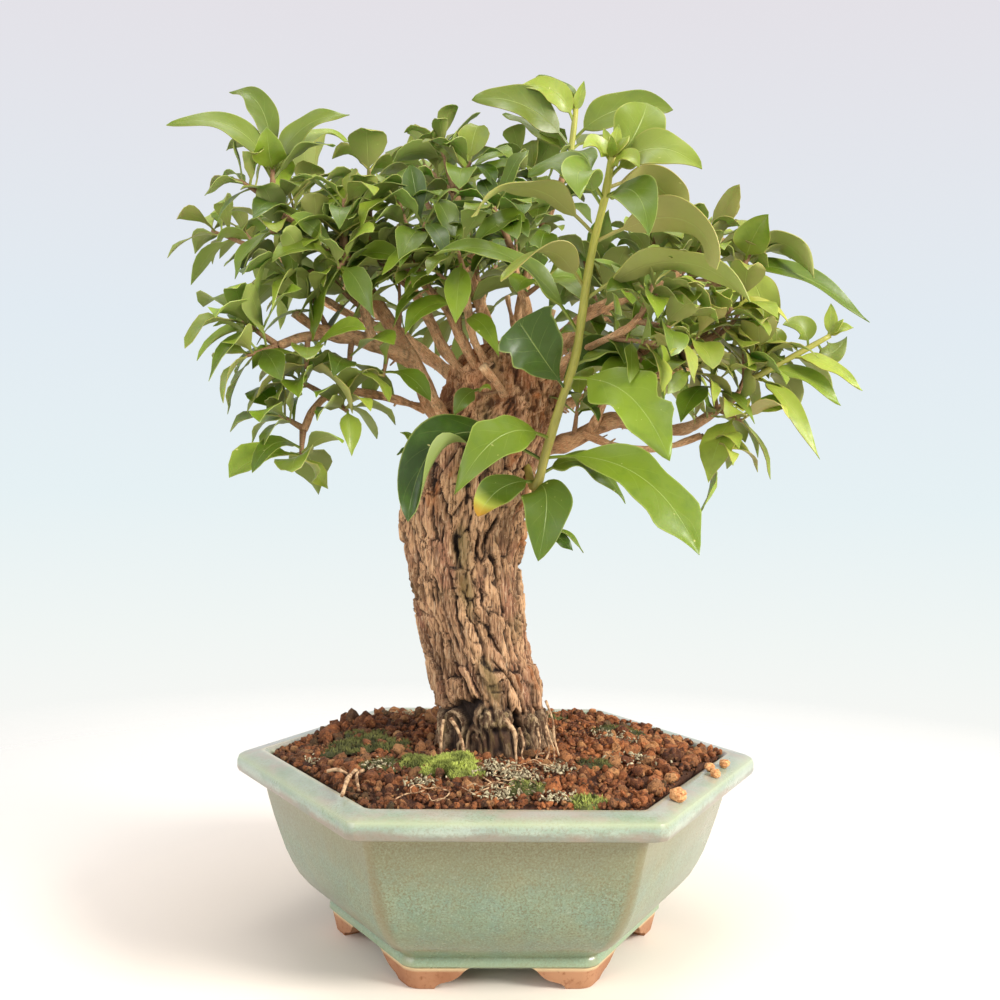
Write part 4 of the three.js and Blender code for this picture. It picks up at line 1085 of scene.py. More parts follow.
branches.append(gather("dead_spurs", spur_master, dead_spurs))
bpy.data.objects.remove(spur_master)
branches = join("branches", branches)
outward(branches)
smooth(branches)
co = places(branches) / MM
cut_ends = [seen(*points[-1]) for points, _ in STUBS] + [seen(*SNAG_END)]
fresh_cut = np.max([np.linalg.norm(co - end, axis=1) < CUT_REACH for end in cut_ends], axis=0) * 1.0
paint(branches, "bark", np.stack([
    np.clip(0.5 + 0.6 * rough(co * 0.12, 91), 0, 1), 0.5 * ease(rough(co * (0.6, 0.6, 0.3), 93), 0.1, 0.6), fresh_cut,
], axis=1))
finish_piece(branches, "bark", "tree")
print("branches:", len(BRANCHES), "stubs:", len(STUBS), "faces:", len(branches.data.polygons))

# %% [markdown]
# ## Bark in colour
# Old bougainvillea bark is tan where it weathers and pinkish brown where a plate has just split; its cracks and
# hollows are painted almost black as shade. The relief left a tone, a painted shade and a trace of algae on every
# point, and a washed share with a painted highlight on the knobs' caps, an orange and a damp share too. The material
# blends colours by them, adds fibres finer than the net, and darkens the trunk a little towards its foot.

# %% Bark of the trunk and of the branches
bark = Finish("old_bark", Roughness=0.92)
tone, shade, olive = bark.channels("bark")
washed_and_highlit, rusty, damp = bark.channels("wear_and_highlight")
thread = bark.noise(bark.object_place((1, 1, 0.09)), 1300, 4, 0.65)
patch = bark.noise(bark.object_place((1, 1, 0.4)), 110, 4, 0.6)
wash_and_highlight_place = bark.object_place((1, 1, 0.6))
wood = bark.mix(rgb(102, 64, 38), rgb(220, 172, 126), tone)
wood = bark.mix(wood, rgb(168, 112, 84), bark.ramp(patch, 0.5, 0.66, 0, 0.7))
wood = bark.mix(wood, rgb(74, 46, 28), bark.ramp(thread, 0.51, 0.62, 0, 0.9))
wood = bark.mix(wood, rgb(232, 202, 164), bark.ramp(thread, 0.45, 0.33, 0, 0.7))
wood = bark.mix(wood, rgb(172, 100, 44), bark.times(rusty, bark.ramp(patch, 0.35, 0.6, 0.2, 0.8)))
wood = bark.mix(wood, rgb(104, 96, 48), bark.times(olive, 0.6))
wood = bark.mix(wood, rgb(62, 42, 27), bark.times(damp, bark.ramp(patch, 0.4, 0.6, 0.6, 1.0)))
# Pale washed wood on the root knobs, with a painted highlight on their caps.
wash_and_highlight = bark.times(washed_and_highlit, bark.ramp(bark.noise(wash_and_highlight_place, 200, 5, 0.7), 0.42, 0.52, 0.1, 1.0))
streaks = bark.ramp(bark.noise(bark.object_place((1, 1, 0.25)), 620, 4, 0.7), 0.47, 0.56)
wash_and_highlight_colour = bark.mix(rgb(218, 188, 146), rgb(122, 104, 58), bark.ramp(patch, 0.48, 0.62))
wood = bark.mix(wood, bark.mix(wash_and_highlight_colour, rgb(70, 48, 30), streaks), wash_and_highlight)
wood = bark.mix(wood, rgb(84, 54, 34), bark.ramp(bark.axis("Z", bark.object_place()), 0.17, 0.1, 0, 0.25))
# Painted shade: hollows, cracks and the recess under the skirt go almost black.
wood = bark.mix(wood, rgb(34, 20, 12), bark.times(shade, 0.95))
bark.colour(wood)
bark.bump(thread, 1.0, 0.0011)
trunk.data.materials.append(bark.material)

limb = Finish("branch_bark", Roughness=0.88)
tone, shade, cut_wood = limb.channels("bark")
grain = limb.noise(limb.uv_place((9, 1.4, 1)), 3, 4, 0.65)
rings = limb.noise(limb.uv_place((0.6, 7, 1)), 1.6, 3, 0.6)
skin = limb.mix(rgb(196, 140, 92), rgb(240, 194, 142), tone)
skin = limb.mix(skin, rgb(120, 76, 44), limb.ramp(grain, 0.53, 0.64, 0, 0.85))
skin = limb.mix(skin, rgb(252, 220, 176), limb.ramp(grain, 0.46, 0.34, 0, 0.75))
skin = limb.mix(skin, rgb(212, 142, 98), limb.ramp(rings, 0.52, 0.66, 0, 0.6))
skin = limb.mix(skin, rgb(240, 204, 154), limb.times(cut_wood, 0.7))
limb.colour(limb.mix(skin, rgb(44, 26, 16), shade))
limb.bump(grain, 1.0, 0.0012)
branches.data.materials.append(limb.material)

# %% [markdown]
# ## One leaf
# A bougainvillea leaf is oval with a drawn-out tip and stands on a short stalk. Its halves fold up from the midrib,
# and its edge waves. The blade starts as a small net with its last row merged to the tip, and Solidify gives it a
# thin body. Each copy is then laid along its own midrib, so no two leaves are alike. One edge may also roll over, so
# that the underside shows.

# %% The blade and how a copy is laid
STALK_HALF = 0.5  # half width of a stalk, in mm
SMALL_STALK, LARGE_STALK = 0.12, 0.16  # share of the length that is stalk


def leaf_master(name, across, rows, thickness):
    """A flat blade from its foot at 0 to its tip at 1, with a cross row at each share of its length in rows."""
    along = len(rows) - 1
    blade = net(name, across, along)
    co = places(blade)
    co[:, 1] = np.interp(co[:, 1], np.linspace(0, 1, along + 1), rows)
    move(blade, co)
    edit_points(blade, [vertex.co.y > 0.999 for vertex in blade.data.vertices])
    bpy.ops.mesh.merge(type="CENTER")
    done()
    apply_modifier(blade, "SOLIDIFY", thickness=thickness, offset=0)
    blade.hide_render = True
    return blade


def outline(t, stalk, low, high):
    """Half width of the blade along its length, as a share of the widest."""
    past = np.clip((t - stalk) / (1 - stalk), 0, 1)
    widest = low / (low + high)
    return past**low * (1 - past) ** high / (widest**low * (1 - widest) ** high)


def lay(master, leaf, stalk):
    """Where each point of a copy lies when its midrib bends from the leaf's foot to its tip.

    A roll holds the side that rolls over (1 is right), the share of the half width where it starts, and its radius as
    a share of the leaf's width.
    """
    foot, bend, tip, width, face = (leaf[key] for key in ("foot", "bend", "tip", "width", "face"))
    net_points = places(master)
    t, x, thick = net_points[:, 1], net_points[:, 0] * 2 - 1, net_points[:, 2]
    rib = np.outer((1 - t) ** 2, foot) + np.outer(2 * t * (1 - t), bend) + np.outer(t**2, tip)
    late = np.minimum(t, 0.97)
    along = np.outer(2 * (1 - late), bend - foot) + np.outer(2 * late, tip - bend)
    along /= np.linalg.norm(along, axis=1)[:, None]
    side = np.cross(along, face)
    side /= np.linalg.norm(side, axis=1)[:, None]
    normal = np.cross(side, along)
    half = width / 2 * outline(t, stalk, leaf["low"], leaf["high"])
    lobes = np.sin(leaf["ripples"] * 8 * t + leaf["phase"] * 3 + 1.9 * (x > 0)) * (1 - ease(t, 0.7, 0.95))
    half = half * (1 + leaf["lobe"] * lobes)
    for edge_side, at, size, spread in leaf.get("teeth", ()):
        half += (x * edge_side > 0) * size * width * np.exp(-(((t - at) / spread) ** 2))
    half = np.maximum(half, STALK_HALF * (1 - 0.85 * ease(t, 0.9, 1.0)))
    across = x * half
    on_blade = ease(t, stalk, stalk + 0.2)
    raised = leaf["fold"] * half * np.abs(x) ** 1.4 * on_blade
    wave = leaf["wave"] * width * np.sin(leaf["ripples"] * math.pi * 2 * t + leaf["phase"] + 1.4 * (x > 0))
    raised += wave * np.abs(x) ** 2 * on_blade
    raised += leaf["cup"] * width * (1 - x**2) * np.sin(math.pi * t) * on_blade
    raised -= leaf["curl"] * width * ease(t, 0.72, 1.0)
    body = thick * (1 + 1.6 * (1 - on_blade)) / MM
    if "roll" in leaf:
        edge_side, start, tight = leaf["roll"]
        past = np.maximum(x * edge_side - start, 0) * half * ease(t, 0.3, 0.6)
        radius = tight * width
        turn = past / radius
        across -= edge_side * (past - (radius - body) * np.sin(turn))
        raised += radius * (1 - np.cos(turn))
        body = body * np.cos(turn)
    return rib + side * across[:, None] + normal * (raised + body)[:, None]


small_blade = leaf_master("small_blade", 4, [0, 0.12, 0.2, 0.3, 0.42, 0.54, 0.66, 0.78, 0.9, 1], 0.00028)
large_blade = leaf_master("large_blade", 8, np.linspace(0, 1, 27), 0.0004)
print("a small blade has", len(small_blade.data.polygons), "faces, a large one", len(large_blade.data.polygons))

# %% [markdown]
# ## Leafy stems
# Most leaves stand in a spiral round the end of a short young stem, a little over a third of a turn apart. The rule
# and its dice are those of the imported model, which holds three leaves of each stem. Here the same rule gives all of
# them.

# %% The rule of a leafy stem


def nearest(line, place):
    best = None
    for a, b in zip(line, line[1:]):
        share = np.clip(np.dot(place - a, b - a) / np.dot(b - a, b - a), 0, 1)
        point = a + (b - a) * share
        if best is None or np.linalg.norm(point - place) < np.linalg.norm(best - place):
            best = point
    return best


def nearest_wood(place):
    found = [nearest(line, place) for line in wood_lines]
    return min(found, key=lambda point: np.linalg.norm(point - place))


SPIRAL = math.radians(137.5)
IN_MODEL = (0, 2, 4)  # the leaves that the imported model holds, counted back from the stem's end
CROWN_CENTRE = np.array([0.0, 0.0, 285.0])  # leaves turn their upper side away from here, to the light
UP = np.array([0.0, 0.0, 1.0])


def ruled_leaves(root, to, leafy, count, length, seed):
    roll = dice(seed)
    more = random.Random(seed)
    along = unit(to - root)
    side = unit(np.cross(along, (0.2, 0.3, 1)))
    other = np.cross(along, side)
    start = roll() * 2 * math.pi
    leaves = []
    for i in range(count):
        share = i / (count - 1) if count > 1 else 1
        around = start + i * SPIRAL + (roll() - 0.5) * 0.7
        lean = 0.15 + 0.75 * share + (roll() - 0.5) * 0.3
        reach = length * (0.78 + 0.34 * roll()) * (1 - 0.18 * share)
        droop = 0.1 + 0.3 * roll()
        width = reach * (0.46 + 0.12 * roll())
        twist = (roll() - 0.5) * 0.8
        foot = to - along * leafy * (0.78 - 0.74 * share)
        out = side * math.cos(around) + other * math.sin(around) + along * lean
        out[2] = out[2] * 0.75 + 0.12
        out = unit(out)
        bend = foot + out * reach * 0.55 + UP * reach * 0.2
        tip = foot + out * reach * 0.95 - UP * reach * (droop - 0.1)
        face = UP + along * 0.35 + np.cross(out, UP) * twist
        back = count - 1 - i
        if back not in IN_MODEL:
            away = unit((to - CROWN_CENTRE) * (1, 1, 0.3))
            rise = (more.uniform(-0.2, 0.35) - 0.3 * np.dot(out, away)) * reach
            swing = np.cross(out, UP) * more.uniform(-0.25, 0.25) * reach
            bend, tip = bend + UP * rise * 0.3 + swing * 0.3, tip + UP * rise + swing
            face = unit(face) + away * more.uniform(0.1, 1.1) + np.cross(out, UP) * more.uniform(-0.5, 0.5)
            width *= more.uniform(0.6, 0.88)
        leaves.append(grown(foot, bend, tip, width, face, more, share))
    return leaves


def sunlit(place):
    """Leaves at the top of the crown are the youngest and palest, and leaves at the top and on the right are made paler
    still as painted sunlight.
    """
    return float(0.3 * ease(place[2], 310, 370) + 0.55 * ease(place[0], 30, 120))


def shaded(place):
    """Leaves in the middle of the crown's front are old, dark and half in shadow; those on its left are paler."""
    left = 0.3 * math.exp(-(((place[0] + 88) / 34) ** 2))
    return 1 + left - 0.65 * math.exp(-(((place[0] + 8) / 36) ** 2) - ((place[2] - 332) / 38) ** 2)


def grown(foot, bend, tip, width, face, more, young):
    return {
        "foot": foot, "bend": bend, "tip": tip, "width": width, "face": unit(face),
        "fold": more.uniform(0.12, 0.42), "wave": more.uniform(0.02, 0.09), "ripples": more.uniform(1.2, 2.2),
        "phase": more.uniform(0, 6.3), "cup": more.uniform(-0.02, 0.08), "curl": more.uniform(0.0, 0.2),
        "low": more.uniform(0.7, 1.6), "high": more.uniform(0.9, 1.5), "lobe": more.uniform(0, 0.06),
        # The tone carries painted shade from shaded(); the youth value carries the leaf's youth and painted sunlight
        # from sunlit().
        "tone": more.uniform(0.1, 1) ** 1.3 * shaded(tip), "young": min(1, shaded(tip)) * min(
            1, young * more.uniform(0.0, 0.6) + more.uniform(0.1, 1.0) * sunlit(tip) + more.uniform(0, 0.2)),
    }


def leaf_colours(leaf, along, thick):
    """Tone, youth with painted sunlight, and underside at each point of a blade; an aged leaf goes past the youngest
    colour towards its tip.
    """
    young = leaf["young"] + leaf.get("aged", 0) * ease(along, 0.65, 1)
    return np.stack([thick * 0 + leaf["tone"], young, (thick < 0) * 1.0], axis=1)


def leafy_piece(name, stems, leaves, master, stalk, nodes=(), around=7):
    """Stems, each a path with its radii, and all their leaves, as one piece."""
    rods = []
    for number, (path, radii) in enumerate(stems):
        rod = tube(name + "_stem", path, radii, around, 4.0, 0.12, len(name) + number)
        paint(rod, "leaf", np.tile([0.5, 0.5, 0.0], (len(rod.data.vertices), 1)))
        rod.data.materials.append(twig.material)
        smooth(rod)
        rods.append(rod)
    shapes = [lay(master, leaf, stalk) for leaf in leaves]
    _, along, thick = places(master).T
    blades = gather(name + "_leaves", master, shapes)
    paint(blades, "leaf", np.vstack([leaf_colours(leaf, along, thick) for leaf in leaves]))
    blades.data.materials.append(foliage.material)
    smooth(blades, 60)
    piece = join(name, [blades, *rods])
    finish_piece(piece, "leaf", *nodes)
    return piece


# %% [markdown]
# ## Leaf colour
# The upper side is a rich satin green with a pale midrib, faint side veins that bow towards the tip, and a thin
# yellow-green edge. The underside is paler and duller. Young leaves are yellow-green, leaves on the crown's top and
# right are turned yellow-green too as painted sunlight, and an aged tip is yellow-orange.
# The UV map runs from stalk to tip and from edge to edge, so veins and edge are simple functions of it.

# %% Leaf and twig finishes
foliage = Finish(
    "bougainvillea_leaf", Subsurface_Weight=0.15, Subsurface_Scale=0.002, Subsurface_Radius=(0.4, 0.9, 0.2), IOR=1.4,
)
tone, young, under = foliage.channels("leaf")
uv = foliage.add("ShaderNodeTexCoord", "UV")
split = foliage.tree.nodes.new("ShaderNodeSeparateXYZ")
foliage.put(split.inputs[0], uv)
from_rib = foliage.times(foliage.number("ABSOLUTE", foliage.number("SUBTRACT", split.outputs[0], 0.5)), 2.0)
mottle = foliage.noise(foliage.object_place(), 130, 4, 0.6)
green = foliage.mix(rgb(42, 63, 4), rgb(124, 144, 38), tone)
# The yellow-green mix here is partly young leaves and partly painted sunlight.
green = foliage.mix(green, rgb(170, 174, 74), foliage.ramp(young, 0.15, 1.0, 0, 0.85))
green = foliage.mix(green, rgb(66, 92, 26), foliage.ramp(mottle, 0.5, 0.7, 0, 0.3))
green = foliage.mix(green, rgb(168, 108, 26), foliage.ramp(young, 0.95, 1.7, 0, 0.85))
slant = foliage.number("SUBTRACT", foliage.times(split.outputs[1], 6.0),
                       foliage.times(foliage.number("POWER", from_rib, 0.8), 1.5))
vein_line = foliage.number("ABSOLUTE", foliage.number("SUBTRACT", foliage.number("FRACT", slant, 0.0), 0.5))
vein = foliage.times(foliage.ramp(vein_line, 0.03, 0.0), foliage.ramp(from_rib, 0.85, 0.5, 0, 0.12))
rib_line = foliage.times(foliage.ramp(from_rib, 0.032, 0.008), foliage.ramp(split.outputs[1], 1.0, 0.7, 0.2, 1))
edge_line = foliage.ramp(from_rib, 0.93, 0.99, 0, 0.32)
green = foliage.mix(green, rgb(166, 184, 92), vein)
rim_tint = foliage.mix(rgb(184, 188, 100), rgb(176, 118, 74), foliage.ramp(young, 0.2, 0.6))
green = foliage.mix(green, rim_tint, edge_line)
below = foliage.mix(green, foliage.mix(rgb(132, 144, 74), rgb(158, 142, 92), young), 0.7)
green = foliage.mix(green, below, under)
flecks = foliage.noise(foliage.object_place(), 330, 2, 0.5)
green = foliage.mix(green, rgb(196, 190, 120), foliage.ramp(flecks, 0.74, 0.8, 0, 0.8))
foliage.colour(foliage.mix(green, rgb(180, 192, 106), foliage.times(rib_line, 0.28)))
gloss = foliage.ramp(foliage.noise(foliage.object_place(), 210, 3, 0.6), 0.38, 0.62, 0.34, 0.5)
foliage.roughness(foliage.mix(gloss, (0.6, 0.6, 0.6, 1), under))
foliage.bump(foliage.number("SUBTRACT", mottle, foliage.number("ADD", vein, rib_line)), 0.4, 0.0004)

twig = Finish("twig_bark", Roughness=0.75)
rings = twig.noise(twig.uv_place((2, 6, 1)), 3, 4, 0.6)
brown = twig.mix(rgb(126, 82, 60), rgb(150, 122, 78), twig.ramp(rings, 0.35, 0.65))
twig.colour(twig.mix(brown, rgb(172, 138, 104), twig.ramp(rings, 0.62, 0.72)))
twig.bump(rings, 0.4, 0.0004)

green_stem = Finish("green_shoot", Roughness=0.5)
streak = green_stem.noise(green_stem.uv_place((6, 0.7, 1)), 2.5, 4, 0.6)
fresh = green_stem.mix(rgb(138, 140, 52), rgb(176, 172, 72), green_stem.ramp(streak, 0.35, 0.65))
height_on = green_stem.axis("Z", green_stem.object_place())
fresh = green_stem.mix(rgb(132, 116, 54), fresh, green_stem.ramp(height_on, 0.2, 0.3, 0.35, 1.0))
green_stem.colour(green_stem.mix(fresh, rgb(132, 98, 56), green_stem.ramp(streak, 0.56, 0.7, 0, 0.7)))
green_stem.bump(streak, 0.3, 0.0003)
print("finishes:", foliage.material.name, twig.material.name, green_stem.material.name)

# %% The leafy stems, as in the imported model: name, start, end (x, z, toward), leaves, length of a leaf, seed
SPRAYS = [
    ["left_tip", [-112, 336, 23], [-121, 341, 25], 7, 25, 11],
    ["left_shelf", [-97, 314, 28], [-107, 318, 30], 7, 27, 13],
    ["left_inner", [-85, 305, 28], [-86, 318, 31], 8, 29, 15],
    ["left_crown", [-76, 318, 34], [-74, 334, 37], 9, 31, 16],
    ["left_high", [-66, 328, 10], [-63, 348, 10], 9, 32, 17],
    ["left_back", [-84, 322, -14], [-90, 338, -18], 8, 31, 18],
    ["middle_left", [-51, 318, 30], [-50, 336, 33], 9, 32, 19],
    ["left_hanging", [-66, 308, 36], [-76, 303, 46], 7, 33, 21],
    ["level_tip", [-108, 271, 38], [-119, 278, 41], 10, 33, 22],
    ["level_end", [-104, 262, 38], [-117, 262, 42], 8, 28, 23],
    ["level_under", [-88, 265, 34], [-90, 257, 38], 6, 31, 24],
    ["level_inner", [-69, 264, 28], [-71, 256, 33], 6, 29, 25],
    ["low_left_end", [-94, 231, 30], [-102, 236, 33], 9, 29, 27],
    ["low_left_tip", [-91, 222, 33], [-92, 215, 37], 6, 34, 28],
    ["low_left_inner", [-76, 241, 28], [-71, 238, 34], 7, 27, 29],
    ["low_left_upper", [-86, 251, 26], [-94, 252, 28], 6, 28, 30],
    ["upright_twig", [-80, 284, 26], [-89, 291, 28], 7, 27, 31],
    ["upright_side", [-88, 299, 34], [-101, 298, 39], 7, 31, 32],
    ["front_middle", [-19, 305, 42], [-22, 312, 52], 7, 38, 33],
    ["front_top", [-2, 320, 32], [-6, 332, 38], 8, 31, 34],
    ["top_left_front", [-19, 338, 12], [-17, 352, 16], 9, 31, 35],
    ["top_left_high", [-29, 347, 2], [-31, 360, 2], 9, 29, 36],
    ["top_left_back", [-30, 334, -16], [-38, 350, -22], 9, 31, 37],
    ["top_back", [6, 336, -16], [4, 354, -22], 8, 30, 38],
    ["top_inner", [12, 322, 8], [15, 334, 12], 7, 30, 39],
    ["centre_low", [14, 292, 30], [19, 300, 36], 6, 30, 40],
    ["right_crown", [62, 304, 2], [68, 322, 2], 9, 32, 41],
    ["right_front", [62, 288, 50], [68, 300, 54], 8, 31, 42],
    ["right_hanging", [66, 276, 46], [76, 279, 54], 8, 31, 43],
    ["right_high", [86, 306, -2], [90, 322, -2], 9, 32, 44],
    ["right_shoulder", [94, 284, 22], [104, 289, 26], 8, 31, 46],
    ["right_inner", [82, 262, 22], [88, 258, 28], 7, 29, 47],
    ["right_edge", [104, 262, 14], [110, 270, 18], 8, 30, 48],
    ["right_under", [94, 250, 18], [95, 256, 28], 7, 27, 49],
    ["right_low_end", [102, 239, 18], [110, 237, 22], 7, 31, 50],
    ["right_low_twig", [93, 226, 20], [100, 223, 22], 5, 29, 51],
    ["back_left_end", [-91, 292, -86], [-102, 298, -90], 9, 32, 53],
    ["back_left_side", [-62, 286, -74], [-64, 302, -80], 8, 32, 54],
    ["far_left_end", [-119, 313, -56], [-133, 318, -58], 9, 31, 55],
    ["back_end", [-22, 322, -90], [-26, 332, -98], 9, 32, 56],
    ["back_right_end", [66, 296, -90], [74, 304, -98], 9, 32, 58],
    ["back_right_side", [38, 292, -58], [34, 314, -66], 9, 32, 59],
    ["far_right_end", [88, 310, -58], [100, 320, -64], 9, 32, 60],
    ["back_low_end", [97, 264, -82], [110, 270, -88], 8, 31, 61],
    ["back_crown", [-38, 334, -54], [-44, 348, -60], 9, 32, 57],
]


def leafy_stem(row, radii, nodes=()):
    """Grows the stem of one row and tells how many leaves it has."""
    name, base, end, count, length, seed = row
    root, to = nearest_wood(seen(*base)), seen(*end)
    leafy = np.linalg.norm(to - seen(*base))
    leaves = ruled_leaves(root, to, leafy, count, length, seed)
    stem = ([root, root * 0.6 + to * 0.4, to], radii)
    leafy_piece("leafy_" + name, [stem], leaves, small_blade, SMALL_STALK, nodes)
    return count


leaf_total = sum(leafy_stem(row, (1.5, 1.2, 0.8), ["spray_" + row[0]]) for row in SPRAYS)
print("leafy stems:", len(SPRAYS), "leaves:", leaf_total)

# %% [markdown]
# ## More leafy stems
# The crown of the real tree is dense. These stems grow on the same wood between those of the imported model, mostly
# inside the crown, on its sides and at its back.

# %% Further stems, given the same way
MORE_SPRAYS = [
    ["left_edge", [-98, 306, 14], [-108, 304, 14], 6, 28, 14],
    ["level_root", [-52, 261, 24], [-55, 254, 29], 4, 26, 26],
    ["behind_shoot", [28, 236, 12], [34, 244, 14], 6, 27, 52],
    ["middle_low", [-38, 313, 42], [-37, 324, 48], 7, 28, 20],
    ["left_crest", [-104, 322, 24], [-102, 334, 26], 6, 28, 12],
]

leaf_total += sum(leafy_stem(row, (1.4, 1.1, 0.7)) for row in MORE_SPRAYS)
print("further stems:", len(MORE_SPRAYS), "leaves in all:", leaf_total)

# %% [markdown]
# ## Short leafy spurs along every branch
# The rest of the crown comes from short spurs that grow along the old branches on all sides of the tree. They are set
# by chance, but they keep inside the crown's outline, and in front they leave open the window through which the old
# branches are seen.

# %% Where spurs may grow
CROWN_X = [-155, -120, -60, -20, 30, 80, 110, 150]
CROWN_TOP = [322, 336, 344, 356, 366, 336, 316, 296]
CROWN_LOW = [262, 226, 246, 268, 270, 246, 232, 250]
SPUR_PITCH = 15
spur_rng = np.random.default_rng(31)


def as_seen_from(place):
    """The x and z at which a place is seen, on the upright plane through the pot's middle."""
    share = -SIGHT[1] / (place[1] - SIGHT[1])
    return (SIGHT + (place - SIGHT) * share)[[0, 2]]


def may_grow(tip):
    x, z = as_seen_from(tip)
    if not np.interp(x, CROWN_X, CROWN_LOW) < z < np.interp(x, CROWN_X, CROWN_TOP):
        return False
    in_window = -78 < x < 52 and z < 306
    left_open = -128 < x < -44 and z < 300
    return not left_open and not (in_window and tip[1] < 16)


# %% Grow the spurs
for (name, *_), line in zip(BRANCHES, wood_lines[1:]):
    path = smooth_path(line, 3.0)
    run = np.concatenate([[0], np.cumsum(np.linalg.norm(np.diff(path, axis=0), axis=1))])
    stems, leaves = [], []
    for at in np.arange(0.3 * run[-1], run[-1], SPUR_PITCH):
        spot = np.searchsorted(run, at + spur_rng.uniform(0, SPUR_PITCH * 0.8))
        base = path[min(spot, len(path) - 1)]
        outward_way = unit(base - (0, 0, 240))
        way = unit(outward_way * 0.7 + UP * 0.45 + spur_rng.normal(0, 0.55, 3))
        to = base + way * spur_rng.uniform(11, 24)
        count = int(spur_rng.integers(5, 9))
        length = spur_rng.uniform(23, 33)
        if not may_grow(to + way * 0.35 * length):
            continue
        stems.append(([base, base * 0.5 + to * 0.5 + spur_rng.normal(0, 1, 3), to], (1.3, 1.0, 0.6)))
        seed = int(spur_rng.integers(1, 9999))
        leaves += ruled_leaves(base, to, np.linalg.norm(to - base) * 0.8, count, length, seed)
    if leaves:
        leafy_piece("spurs_" + name, stems, leaves, small_blade, SMALL_STALK)
        leaf_total += len(leaves)
print("leaves in all:", leaf_total)

# %% [markdown]
# ## The long shoots
# A few strong shoots carry the large leaves. Their leaves were placed one by one, by the foot, the bend and the tip
# of each midrib, its width, and how many degrees its upper side turns from the sky towards the viewer.

